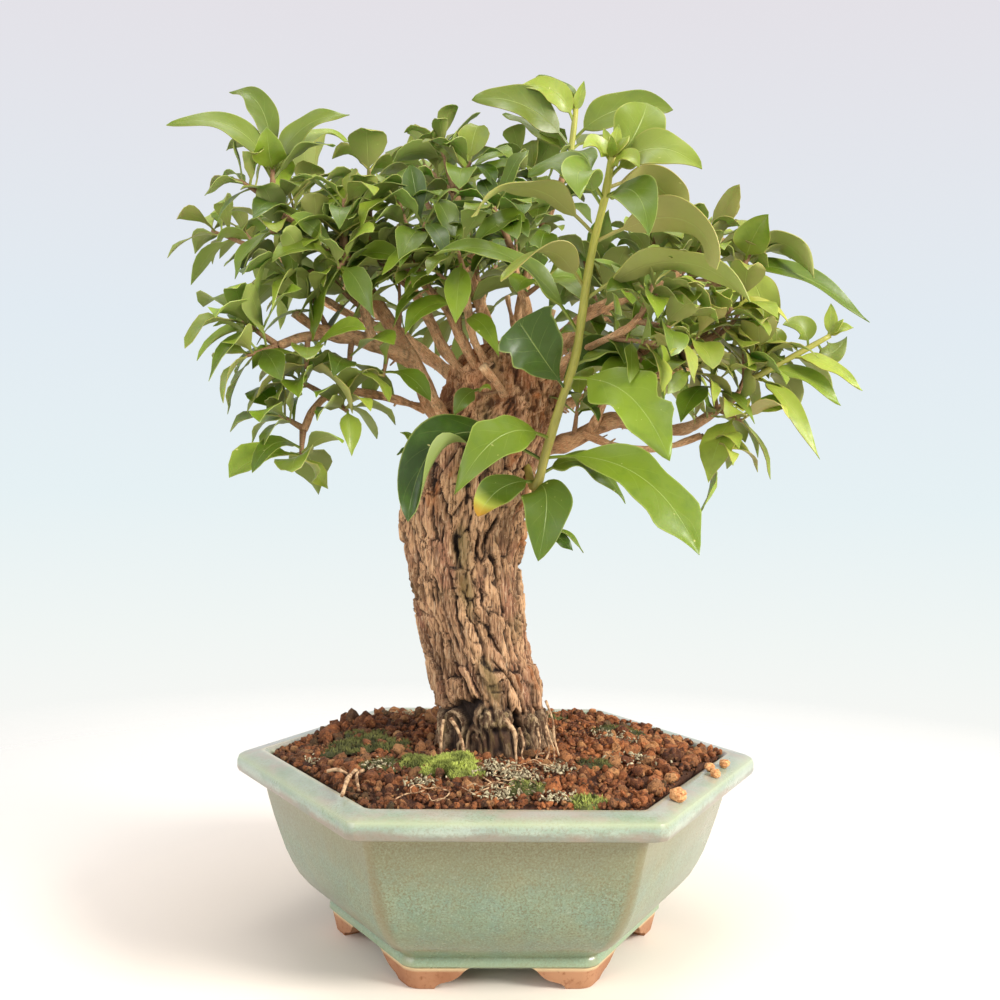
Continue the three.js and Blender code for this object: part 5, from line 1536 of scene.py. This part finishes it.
# %% Shoots: name, stem, radii at its foot and end, leaves
SHOOTS = [
    ["front_shoot", [[15, 205, 30], [20, 222, 34], [26, 243, 40], [32, 263, 48], [35, 283, 56], [37, 300, 64],
        [40, 318, 74], [44, 335, 84], [46, 347, 90], [47.5, 357, 94]], 2.2, 1.5, [
        [[18.5, 217, 33], [-37, 250, 44], [-43, 188, 60], 23, 45],
        [[21, 227, 36], [-2, 240, 62], [-22, 201, 66], 19, 60],
        [[16, 207, 31], [-2, 209, 44], [-11, 191, 54], 15, 55],
        [[15.5, 206, 31], [25, 208, 42], [17, 171, 50], 21, 78],
        [[19, 218, 34], [68, 226, 50], [92, 175, 62], 22, 52],
        [[17, 209, 32], [38, 228, 34], [57, 198, 36], 16, 30],
        [[28, 250, 43], [18, 263, 58], [6, 281, 64], 25, 74],
        [[29.5, 255, 45], [60, 258, 62], [77, 218, 78], 23, 62],
        [[31, 260, 47], [48, 272, 38], [64, 260, 30], 14, 12],
        [[33.5, 275, 53], [6, 324, 62], [-33, 310, 70], 15, 34],
        [[36.5, 295, 62], [20, 326, 76], [-3, 299, 88], 19, -4],
        [[36, 290, 60], [78, 326, 74], [113, 292, 86], 17, -28],
        [[40.5, 320, 75], [8, 356, 92], [-17, 328, 102], 18, -6],
        [[40, 317, 73], [88, 345, 88], [97, 306, 100], 20, -36],
        [[44.5, 337, 86], [62, 350, 108], [65, 321, 120], 16, 60],
        [[44.5, 336, 85], [28, 362, 108], [33, 337, 118], 15, 58],
        [[46, 345, 90], [64, 370, 100], [89, 352, 106], 17, 50],
        [[47, 353, 93], [60, 364, 94], [63, 381, 88], 20, 80],
        [[43.5, 333, 83], [26, 362, 76], [9, 346, 72], 15, 40],
        [[45.5, 341, 88], [68, 354, 82], [80, 328, 76], 18, -38],
    ]],
    ["top_shoot", [[27.5, 352, 3], [29, 362, 4], [30.5, 377, 5]], 1.7, 1.2, [
        [[28.5, 359, 4], [10, 386, 12], [-17, 380, 14], 17, 55],
        [[29, 362, 4], [46, 384, 6], [75, 378, 8], 18, 55],
        [[30, 370, 5], [24, 390, 8], [4, 387, 10], 12, 55],
        [[30.3, 374, 5], [27, 393, -2], [12, 391, -8], 9, 10],
        [[28, 356, 4], [12, 370, -8], [-3, 374, -14], 11, 30],
        [[28.5, 358, 4], [40, 370, -4], [48, 361, -10], 12, 20],
        [[28.3, 356, 3], [36, 362, 20], [38, 350, 30], 12, 10],
    ]],
    ["left_shoot", [[-106, 334, 24], [-106, 340, 25], [-106, 347, 25]], 1.6, 1.2, [
        [[-106, 342, 25], [-117, 374, 26], [-154, 365, 28], 13, 44],
        [[-106, 344, 25], [-107, 384, 18], [-126, 380, 16], 12, 50],
        [[-106, 346, 25], [-108, 352, 33], [-109, 365, 38], 14, 80],
        [[-106, 344, 25], [-97, 371, 28], [-72, 372, 30], 12, 44],
        [[-106, 343, 25], [-92, 370, 18], [-72, 360, 12], 12, 30],
        [[-106, 341, 25], [-118, 364, 18], [-127, 354, 12], 10, -10],
        [[-106, 341, 25], [-94, 360, 30], [-78, 358, 32], 12, 10],
    ]],
    ["right_shoot", [[113, 255, 12], [124, 262, 12], [138, 270, 12], [150, 277, 12]], 1.6, 1.2, [
        [[140, 271, 12], [140, 284, 14], [128, 282, 16], 12, 50],
        [[144, 274, 12], [150, 262, 8], [158, 277, 4], 11, 70],
        [[132, 267, 12], [148, 268, 16], [166, 252, 18], 9, 40],
        [[128, 264, 12], [122, 276, 20], [121, 279, 24], 13, 60],
        [[120, 259, 12], [138, 264, 14], [156, 245, 16], 13, 36],
        [[122, 260, 12], [132, 260, 4], [136, 242, -2], 14, -20],
        [[117, 257, 12], [130, 252, 22], [147, 220, 30], 10, 25],
        [[134, 268, 12], [142, 266, 0], [152, 252, -8], 11, 4],
    ]],
    ["right_crest", [[104, 304, 6], [109, 308, 7], [112, 315, 7]], 1.5, 1.1, [
        [[110, 310, 7], [112, 322, 16], [120, 332, 20], 16, 75],
        [[111, 313, 7], [112, 334, 0], [101, 326, -6], 9, 10],
        [[111, 312, 7], [128, 330, 8], [142, 303, 10], 15, -30],
        [[110, 309, 7], [124, 320, 2], [131, 312, -4], 12, -6],
        [[106, 306, 6], [128, 316, 4], [169, 284, 2], 15, 38],
        [[108, 308, 7], [96, 324, 12], [92, 312, 14], 12, 20],
        [[107, 307, 7], [122, 298, 18], [119, 268, 22], 17, 60],
    ]],
]

# Leaves whose edge or colour the photo shows plainly. A tooth of the edge is its side (1 is right of the midrib,
# looking from foot to tip), its place along the leaf, how far it stands out as a share of the width, and its spread.
HERO_LEAVES = {
    "front_shoot": {
        0: {"tone": 0.0, "young": 0, "low": 0.7, "high": 0.75, "lobe": 0.0, "curl": 0.0, "roll": (-1, 0.2, 0.12)},
        1: {"tone": 0.5, "young": 0.1, "teeth": [(1, 0.6, 0.08, 0.06), (1, 0.47, -0.07, 0.06), (-1, 0.5, 0.08, 0.09),
                                                 (-1, 0.27, -0.08, 0.08)]},
        2: {"tone": 0.2, "young": 0.1, "low": 0.7, "high": 0.7, "aged": 1.6},
        3: {"tone": 0.3, "young": 0.1, "low": 0.62, "high": 0.85},
        4: {"tone": 0.65, "young": 0.05, "wave": 0.07, "low": 0.75, "high": 0.85, "teeth": [
            (-1, 0.6, -0.13, 0.09), (-1, 0.82, 0.13, 0.07), (1, 0.46, -0.12, 0.1), (1, 0.8, 0.16, 0.08)]},
        5: {"tone": 0.4, "young": 0.1},
        6: {"tone": 0.05, "young": 0, "low": 0.95, "high": 0.32, "teeth": [
            (1, 0.93, 0.16, 0.05), (1, 0.7, -0.05, 0.08), (-1, 0.9, 0.1, 0.05), (-1, 0.8, -0.08, 0.04),
            (-1, 0.68, 0.07, 0.05)]},
        # Leaf 7's light tone partly paints the whitish sheen that lies on it.
        7: {"tone": 0.8, "young": 0.1, "wave": 0.08, "low": 0.6, "high": 0.9, "teeth": [
            (-1, 0.22, -0.1, 0.08), (-1, 0.52, 0.12, 0.06), (-1, 0.65, -0.1, 0.05), (-1, 0.75, 0.12, 0.05),
            (1, 0.27, 0.1, 0.07), (1, 0.5, -0.12, 0.09), (1, 0.74, 0.05, 0.06)]},
        9: {"tone": 0.55, "young": 0.1, "wave": 0.1},
        10: {"young": 0.6}, 11: {"young": 0.45, "high": 0.8}, 12: {"young": 0.5}, 13: {"young": 0.75, "high": 0.8},
        16: {"tone": 0.5, "young": 0.4, "high": 0.85}, 17: {"tone": 0.5, "young": 0.3, "low": 0.6, "high": 0.5},
        19: {"young": 0.8, "high": 0.6},
    },
    "top_shoot": {
        0: {"tone": 0.1, "young": 0.35, "high": 0.9}, 1: {"tone": 0.3, "young": 0.3, "high": 0.85},
        2: {"tone": 0.7, "young": 0.5},
    },
    "left_shoot": {0: {"tone": 0.35, "young": 0.3, "high": 0.9}, 3: {"tone": 0.35, "young": 0.3}},
    "right_crest": {4: {"tone": 0.35, "young": 0.1}},
    "right_shoot": {6: {"tone": 0.8, "young": 0.5}},
}
GREEN_SHOOTS = ("front_shoot", "right_shoot", "top_shoot")
SHOOT_DROP = {"front_shoot": 9}  # how much lower than its first point the shoot leaves the wood, in mm
# Small leaves at a shoot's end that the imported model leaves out
TIP_LEAVES = {
    "front_shoot": [
        [[46.5, 350, 91], [55, 362, 104], [60, 352, 112], 8, 60], [[47, 353, 93], [41, 366, 98], [34, 360, 104], 8, 60],
        [[47.5, 356, 94], [49, 363, 96], [50, 371, 94], 5, 70], [[47.5, 356, 94], [46, 363, 96], [43, 369, 95], 4, 60],
        [[47.3, 355, 93.5], [51, 360, 97], [55, 366, 98], 5, 40],
        [[47.3, 355, 93.5], [47.5, 360, 99], [47, 366, 102], 4, 80],
    ],
    "right_shoot": [
        [[148, 276, 12], [154, 282, 13], [161, 281, 14], 6, 50],
        [[149, 276.5, 12], [151, 284, 11], [150, 292, 10], 6, 60],
        [[149.5, 277, 12], [153, 280, 14], [156, 285, 15], 4, 40],
    ],
    "top_shoot": [
        [[30, 375, 5], [32, 382, 6], [34, 390, 6], 5, 60], [[30, 375, 5], [28, 382, 4], [24, 388, 4], 5, 60],
    ],
}
# Small leaves that break straight out of old wood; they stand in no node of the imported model.
BUDS = [
    ["trunk_bud", [[-10, 247, 25], [-12, 249, 29]], 0.8, 0.6, [
        [[-12, 249, 29], [-19, 247, 36], [-22.5, 237, 36], 8, 74],
        [[-11.5, 248.5, 28], [-8, 252, 31], [-6, 249, 33], 3, 40]]],
    ["trunk_twin_bud", [[-36, 219, 4], [-39.5, 222, 6]], 0.7, 0.5, [
        [[-39.5, 222, 6], [-41, 227, 8], [-47, 229, 9], 4, 50],
        [[-39.5, 222, 6], [-44, 222, 8], [-48.5, 218.5, 9], 3, 40],
        [[-38.5, 221.5, 6], [-39, 225, 8], [-36, 228, 9], 3, 40]]],
    ["trunk_side_bud", [[19, 186, 6], [22, 185, 8]], 0.8, 0.6, [
        [[22, 185, 8], [30, 187, 10], [38, 175, 11], 6, 10], [[21.5, 185, 8], [28, 181, 12], [33, 176, 14], 6, 60]]],
    ["inner_bud", [[60, 268, 18], [63, 266, 25], [62, 263, 31]], 1.1, 0.8, [
        [[62, 263, 31], [44, 275, 36], [27, 255, 40], 17, 58], [[62.5, 264, 30], [52, 262, 44], [44, 250, 50], 13, 60],
        [[63, 265, 28], [72, 270, 34], [76, 258, 40], 13, 40]]],
]
for number, (name, points, start, end, leaves) in enumerate(SHOOTS + BUDS):
    path = [np.array(p) for p in as_seen(points)]
    path.insert(0, nearest_wood(path[0] - UP * SHOOT_DROP.get(name, 0)))
    more = random.Random(number + 5)
    grown_leaves = []
    for index, (foot, bend, tip, width, turn_up) in enumerate(leaves + TIP_LEAVES.get(name, [])):
        middle = seen(*bend)
        towards = unit(SIGHT - middle)
        angle = math.radians(turn_up)
        face = UP * math.cos(angle) + towards * math.sin(angle)
        leaf = grown(nearest(path, seen(*foot)), middle, seen(*tip), width, face, more, 0.0)
        curl, wave = more.uniform(0, 0.06), more.uniform(0.04, 0.09)
        leaf.update(fold=0.22, curl=curl, low=0.62, high=1.05, wave=wave, lobe=0.05)
        if index >= len(leaves):
            leaf.update(tone=0.8, young=0.5)
        leaf.update(HERO_LEAVES.get(name, {}).get(index, {}))
        grown_leaves.append(leaf)
    stem = (path, np.linspace(start, end, 6))
    nodes = [name] if number < len(SHOOTS) else []
    piece = leafy_piece(name + "_piece", [stem], grown_leaves, large_blade, LARGE_STALK, nodes, 12)
    if name in GREEN_SHOOTS:
        for slot_number, held in enumerate(piece.data.materials):
            if held == twig.material:
                piece.data.materials[slot_number] = green_stem.material
    leaf_total += len(grown_leaves)
bpy.data.objects.remove(small_blade)
bpy.data.objects.remove(large_blade)
print("leaves in all:", leaf_total)

# %% [markdown]
# ## Moss, lichen, twigs and hair roots
# Moss is a low cushion of tiny upright blades. Lichen is a scatter of pale flakes that keeps inside the pot's wall.
# Fallen twigs and hair roots are thin tubes that lie on the grains. All are small, but without them the soil looks
# freshly poured.

# %% Moss cushions
cover_rng = np.random.default_rng(23)
# Middle, half sizes and number of blades of each patch, then how bright it is, from 0 to 1
MOSS = [
    (-21, -44, 13, 15, 2600, 1.0), (-36, -38, 9, 8, 700, 0.45), (-60, -6, 18, 15, 1500, 0.1),
    (-52, -40, 9, 8, 260, 0.1), (32, -86, 8, 4, 260, 0.7), (60, 30, 12, 9, 260, 0.15), (20, 62, 16, 9, 300, 0.3),
    (8, -72, 8, 5, 160, 0.4), (40, -40, 8, 6, 160, 0.1),
]


def ground(x, y):
    return mound(x, y) + 1.2


deselect()
bpy.ops.mesh.primitive_cone_add(vertices=3, radius1=0.3, radius2=0.05, depth=1.3, location=(0, 0, 0.65))
moss_blade = bpy.context.object
bpy.ops.object.transform_apply(location=True, rotation=True, scale=True)
blade_shape = places(moss_blade)
moss_shapes, moss_tones = [], []
for mx, my, half_x, half_y, count, bright in MOSS:
    for _ in range(count):
        r, a = math.sqrt(cover_rng.random()), cover_rng.uniform(0, 2 * math.pi)
        ragged = 1 + 0.25 * math.sin(3 * a + mx) + 0.15 * math.sin(7 * a)
        x, y = mx + half_x * r * ragged * math.cos(a), my + half_y * r * ragged * math.sin(a)
        dome = 3.4 * (1 - r**3) * (0.4 + 0.6 * bright)
        lean = cover_rng.normal(0, 0.6, 2)
        size = cover_rng.uniform(0.7, 1.25)
        shape = blade_shape * size
        shape = shape + np.outer(shape[:, 2], (*lean, 0))
        moss_shapes.append(shape + (x, y, ground(x, y) + dome))
        tuft = 0.5 + 0.9 * float(lumps(np.array([[x, y, 0.0]]) * 0.35)[0])
        moss_tones.append(np.tile([0.4 * cover_rng.random() + 0.6 * tuft, bright, 0], (len(shape), 1)))
moss = gather("moss", moss_blade, moss_shapes)
paint(moss, "moss", np.vstack(moss_tones))
bpy.data.objects.remove(moss_blade)

cushions = []
for mx, my, half_x, half_y, _, bright in MOSS:
    cushion = ball(4)
    co = places(cushion)
    a = np.arctan2(co[:, 1], co[:, 0])
    co[:, :2] *= (1 + 0.25 * np.sin(3 * a + mx) + 0.15 * np.sin(7 * a))[:, None]
    x, y = mx + half_x * co[:, 0], my + half_y * co[:, 1]
    uneven = 0.7 * lumps(np.stack([x, y, x * 0], axis=1) * 0.5)
    z = ground(x, y) + (3.6 * (0.4 + 0.6 * bright)) * co[:, 2] - 0.3 + uneven
    move(cushion, np.stack([x, y, z], axis=1) * MM)
    paint(cushion, "moss", np.tile([0.2, bright, 0.6], (len(co), 1)))
    smooth(cushion)
    cushions.append(cushion)
moss = join("moss", [moss, *cushions])
finish_piece(moss, "soil")
mossy = Finish("moss_green", Roughness=0.9)
tone, bright, deep_down = mossy.channels("moss")
fresh = mossy.mix(rgb(70, 80, 24), rgb(190, 200, 96), tone)
dark = mossy.mix(rgb(38, 40, 20), rgb(96, 94, 48), tone)
both = mossy.mix(dark, fresh, bright)
speck = mossy.noise(mossy.object_place(), 700, 3)
shadow = mossy.times(deep_down, mossy.ramp(speck, 0.4, 0.6))
mossy.colour(mossy.mix(both, rgb(58, 56, 26), shadow))
moss.data.materials.append(mossy.material)
print("moss has", len(moss.data.polygons), "faces")

# %% Lichen flakes, fallen twigs and hair roots
# Middle and spread of each patch, and how many times it drops FLAKES_AT_ONCE flakes
FLAKES_AT_ONCE = 3
SOIL_FRONT = -88  # hair roots keep behind this y
LICHEN = [
    (7, -61, 10, 70), (20, -87, 8, 55), (-52, -42, 6, 28), (-34, -67, 7, 24), (-84, -30, 6, 20), (-2, -80, 9, 40),
    (-3, -50, 10, 60), (24, -50, 7, 30), (58, 12, 14, 26), (-40, 60, 16, 24), (14, 70, 14, 20), (56, -34, 10, 22),
]
flake = ball(1)
flake_shape = places(flake)
flake_shapes, flake_tones = [], []
for fx, fy, spread, count in LICHEN:
    for _ in range(count * FLAKES_AT_ONCE):
        x, y = cover_rng.normal((fx, fy), spread * 0.5)
        size = cover_rng.uniform(0.5, 1.4)
        shape = (flake_shape * (size, size * 0.42, size * 0.34)) @ turned(cover_rng)
        rise, tone = cover_rng.uniform(0.8, 2.4), cover_rng.random()
        if within(x, y, SOIL_BRIM - 3):
            flake_shapes.append(shape + (x, y, ground(x, y) + rise))
            flake_tones.append(np.tile([tone, 0, 0], (len(shape), 1)))
lichen = gather("lichen", flake, flake_shapes)
paint(lichen, "flake", np.vstack(flake_tones))
smooth(lichen, 50)
bpy.data.objects.remove(flake)
finish_piece(lichen, "soil")
pale_grey = Finish("lichen_grey", Roughness=0.95)
tone, _, _ = pale_grey.channels("flake")
chalk = pale_grey.mix(rgb(84, 68, 44), rgb(208, 196, 158), tone)
mott = pale_grey.noise(pale_grey.object_place(), 1200, 3)
pale_grey.colour(pale_grey.mix(chalk, rgb(92, 78, 52), pale_grey.ramp(mott, 0.5, 0.66, 0, 0.7)))
lichen.data.materials.append(pale_grey.material)


def on_ground(points, rise):
    return [(x, y, ground(x, y) + rise + bow) for x, y, bow in points]


litter = [
    tube("fallen_twig", on_ground([(-73, -49, 0), (-69, -51, 1), (-64, -55, 0)], 2.4), (1.1, 0.9, 0.7), 8, 1.5, 0.3, 1),
    tube("fallen_twig", on_ground([(-61, -52, 0), (-63, -66, 2), (-64, -82, 0)], 2.6), (0.9, 0.8, 0.6), 8, 2, 0.3, 2),
    tube("fallen_twig", on_ground([(-58, -51, 0), (-60, -60, 1.5), (-58, -74, 0)], 2.2), (0.7, 0.6, 0.5), 8, 2, 0.3, 3),
]
for k in range(16):
    x, y = [(-30, -79), (-14, -72), (4, -56), (22, -47)][k % 4] + cover_rng.normal(0, 5, 2)
    heading = cover_rng.uniform(0, 2 * math.pi)
    points = [(x, y, 0)]
    for _ in range(5):
        heading += cover_rng.normal(0, 0.7)
        x, y = x + 3.4 * math.cos(heading), max(y + 3.4 * math.sin(heading), SOIL_FRONT)
        points.append((x, y, cover_rng.uniform(-0.8, 1.4)))
    litter.append(tube("hair_root", on_ground(points, 2.0), (0.3, 0.2), 6, 1.2, 0.2, k))
# Points of each root thread, in place
ROOT_THREADS = [
    [(19.5, -27, 112), (22.5, -29, 104), (23.5, -31, 95), (26.5, -33, 86)],
    [(19, -27, 104), (21, -31, 97), (23, -33, 92), (23, -36, 86)],
    [(16, -28, 100), (17, -31, 94), (15.5, -33, 88), (17, -36, 84)],
    [(21, -26, 108), (19.5, -30, 100), (21, -32, 92), (19, -35, 86)],
    [(2, -29, 104), (6, -31, 98), (6.5, -31, 91), (7, -33, 84)],
    [(-25, -22, 102), (-26, -25, 96), (-26, -26, 90), (-25.5, -29, 84)],
    [(-22, -24, 103), (-19, -27, 99), (-17, -29, 94), (-15, -31, 86)],
    [(8, -28, 100), (10, -31, 94), (9, -33, 89), (12, -36, 85)],
]
THICK_THREADS = (4, 5, 6)
for k, points in enumerate(ROOT_THREADS):
    radii = (1.0, 0.8, 0.6) if k in THICK_THREADS else (0.6, 0.45, 0.4)
    litter.append(tube("root_thread", points, radii, 8, 1.5, 0.25, k + 40))
litter = join("twigs_and_roots", litter)
outward(litter)
smooth(litter)
finish_piece(litter, "bark")
dry = Finish("dry_root", Roughness=0.85)
mott = dry.noise(dry.object_place(), 420, 4)
dry.colour(dry.mix(rgb(196, 162, 122), rgb(112, 78, 50), dry.ramp(mott, 0.42, 0.6)))
litter.data.materials.append(dry.material)
print("threads and twigs:", len(litter.data.polygons), "faces")

# %% [markdown]
# ## Pieces carried over
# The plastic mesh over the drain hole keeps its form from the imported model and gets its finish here. The few loose
# grains on the rim are made again with a lumpier skin, each in the box of the one it takes the place of.

# %% Finish the pieces carried over
plastic = Finish("mesh_plastic", Roughness=0.6)
rub = plastic.noise(plastic.object_place(), 300, 3)
plastic.colour(plastic.mix(rgb(40, 58, 46), rgb(58, 78, 62), plastic.ramp(rub, 0.4, 0.6)))
plastic.bump(rub, 0.2, 0.0002)
for obj in bpy.data.objects:
    if obj.name.split(".")[0] == "drain_mesh":
        obj.data.materials.clear()
        obj.data.materials.append(plastic.material)
stray = Finish("stray_grain", Roughness=0.95)
crumb = stray.noise(stray.object_place(), 800, 5, 0.7)
body = stray.mix(rgb(168, 108, 62), rgb(226, 172, 116), stray.ramp(crumb, 0.4, 0.6))
stray.colour(stray.mix(body, rgb(126, 76, 44), stray.ramp(crumb, 0.6, 0.75)))
stray.bump(crumb, 0.6, 0.0006)
plain_grains = [obj for obj in bpy.data.objects if obj.name.startswith("loose_grain")]
for number, obj in enumerate(plain_grains):
    corners = places(obj)
    low, high = corners.min(axis=0), corners.max(axis=0)
    grain = ball(4)
    grain.name = f"lumpy_grain_{number + 1}"
    co = places(grain)
    co *= (1 + 0.2 * lumps(co * 1.4 + number, 7 + number) + 0.16 * lumps(co * 3.6, 30 + number))[:, None]
    co = (co - co.min(axis=0)) / (co.max(axis=0) - co.min(axis=0))
    move(grain, low + co * (high - low))
    grain.data.materials.append(stray.material)
    smooth(grain)
    finish_piece(grain, "soil", obj.name.split(".")[0])
print("grains on the rim:", len(plain_grains))

# %% [markdown]
# ## Floor and light
# The tree stands on a pale floor under soft studio light. The sky goes from a warm white low down through a cool pale
# blue to a pale grey high up. A broad lamp from the front right draws the leaves and the bark, a weaker one fills the
# left, and one from above lights the crown.

# %% Floor, sky and lamps
deselect()
bpy.ops.mesh.primitive_circle_add(vertices=96, radius=0.7, fill_type="NGON")
floor = bpy.context.object
floor.name = "floor"
paper = Finish("pale_paper", Roughness=0.9)
paper.put(paper.shader.inputs["Specular IOR Level"], 0.1)
away = paper.add("ShaderNodeVectorMath", "Value", {0: paper.object_place()}, operation="LENGTH")
paper.colour(paper.mix(rgb(228, 219, 206), rgb(224, 222, 217), paper.ramp(away, 0.14, 0.42)))
paper.put(paper.shader.inputs["Alpha"], paper.ramp(away, 0.2, 0.62, 1.0, 0.0))
floor.data.materials.append(paper.material)
floor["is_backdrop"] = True

world = bpy.data.worlds.new("studio")
bpy.context.scene.world = world
world.use_nodes = True
sky = world.node_tree
direction = sky.nodes.new("ShaderNodeTexCoord").outputs["Generated"]
rise = sky.nodes.new("ShaderNodeSeparateXYZ")
sky.links.new(direction, rise.inputs[0])
fade_up = sky.nodes.new("ShaderNodeValToRGB")
span = sky.nodes.new("ShaderNodeMapRange")
span.inputs["From Min"].default_value, span.inputs["From Max"].default_value = -0.44, 0.4
sky.links.new(rise.outputs["Z"], span.inputs["Value"])
sky.links.new(span.outputs[0], fade_up.inputs[0])
# Place on the way from low to high, and the colour there
stops = [(0.0, rgb(255, 254, 249)), (0.14, rgb(254, 252, 247)), (0.25, rgb(250, 249, 245)), (0.36, rgb(241, 246, 244)),
         (0.49, rgb(230, 241, 244)), (0.66, rgb(226, 235, 242)), (1.0, rgb(228, 223, 229))]
ramp = fade_up.color_ramp
ramp.elements[0].position, ramp.elements[0].color = stops[0]
ramp.elements[1].position, ramp.elements[1].color = stops[-1]
for position, colour in stops[1:-1]:
    ramp.elements.new(position).color = colour
sky.links.new(fade_up.outputs[0], sky.nodes["Background"].inputs["Color"])
sky.nodes["Background"].inputs["Strength"].default_value = 1.0


def lamp(name, place, size, power, tint):
    light = bpy.data.lights.new(name, "AREA")
    light.shape, light.size, light.energy, light.color = "DISK", size, power, tint
    obj = bpy.data.objects.new(name, light)
    obj.location = place
    obj.rotation_euler = (Vector((0, 0, 0.2)) - Vector(place)).to_track_quat("-Z", "Y").to_euler()
    bpy.context.scene.collection.objects.link(obj)
    obj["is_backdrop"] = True


lamp("key", (1.4, -0.85, 0.95), 0.75, 50, (1.0, 0.98, 0.93))
lamp("fill", (-1.15, -1.1, 0.7), 1.3, 15, (0.98, 0.98, 1.0))
lamp("top", (0.0, 0.1, 1.9), 1.2, 16, (1.0, 0.99, 0.95))
bpy.context.scene.view_settings.view_transform = "Standard"

# %% [markdown]
# ## The dressed tree's box
# The box round everything that is drawn, apart from the floor and the lamps, is measured. The dressed tree has to
# stay inside the imported model's box, apart from a small allowance.

# %% Measure the box
low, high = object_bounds()
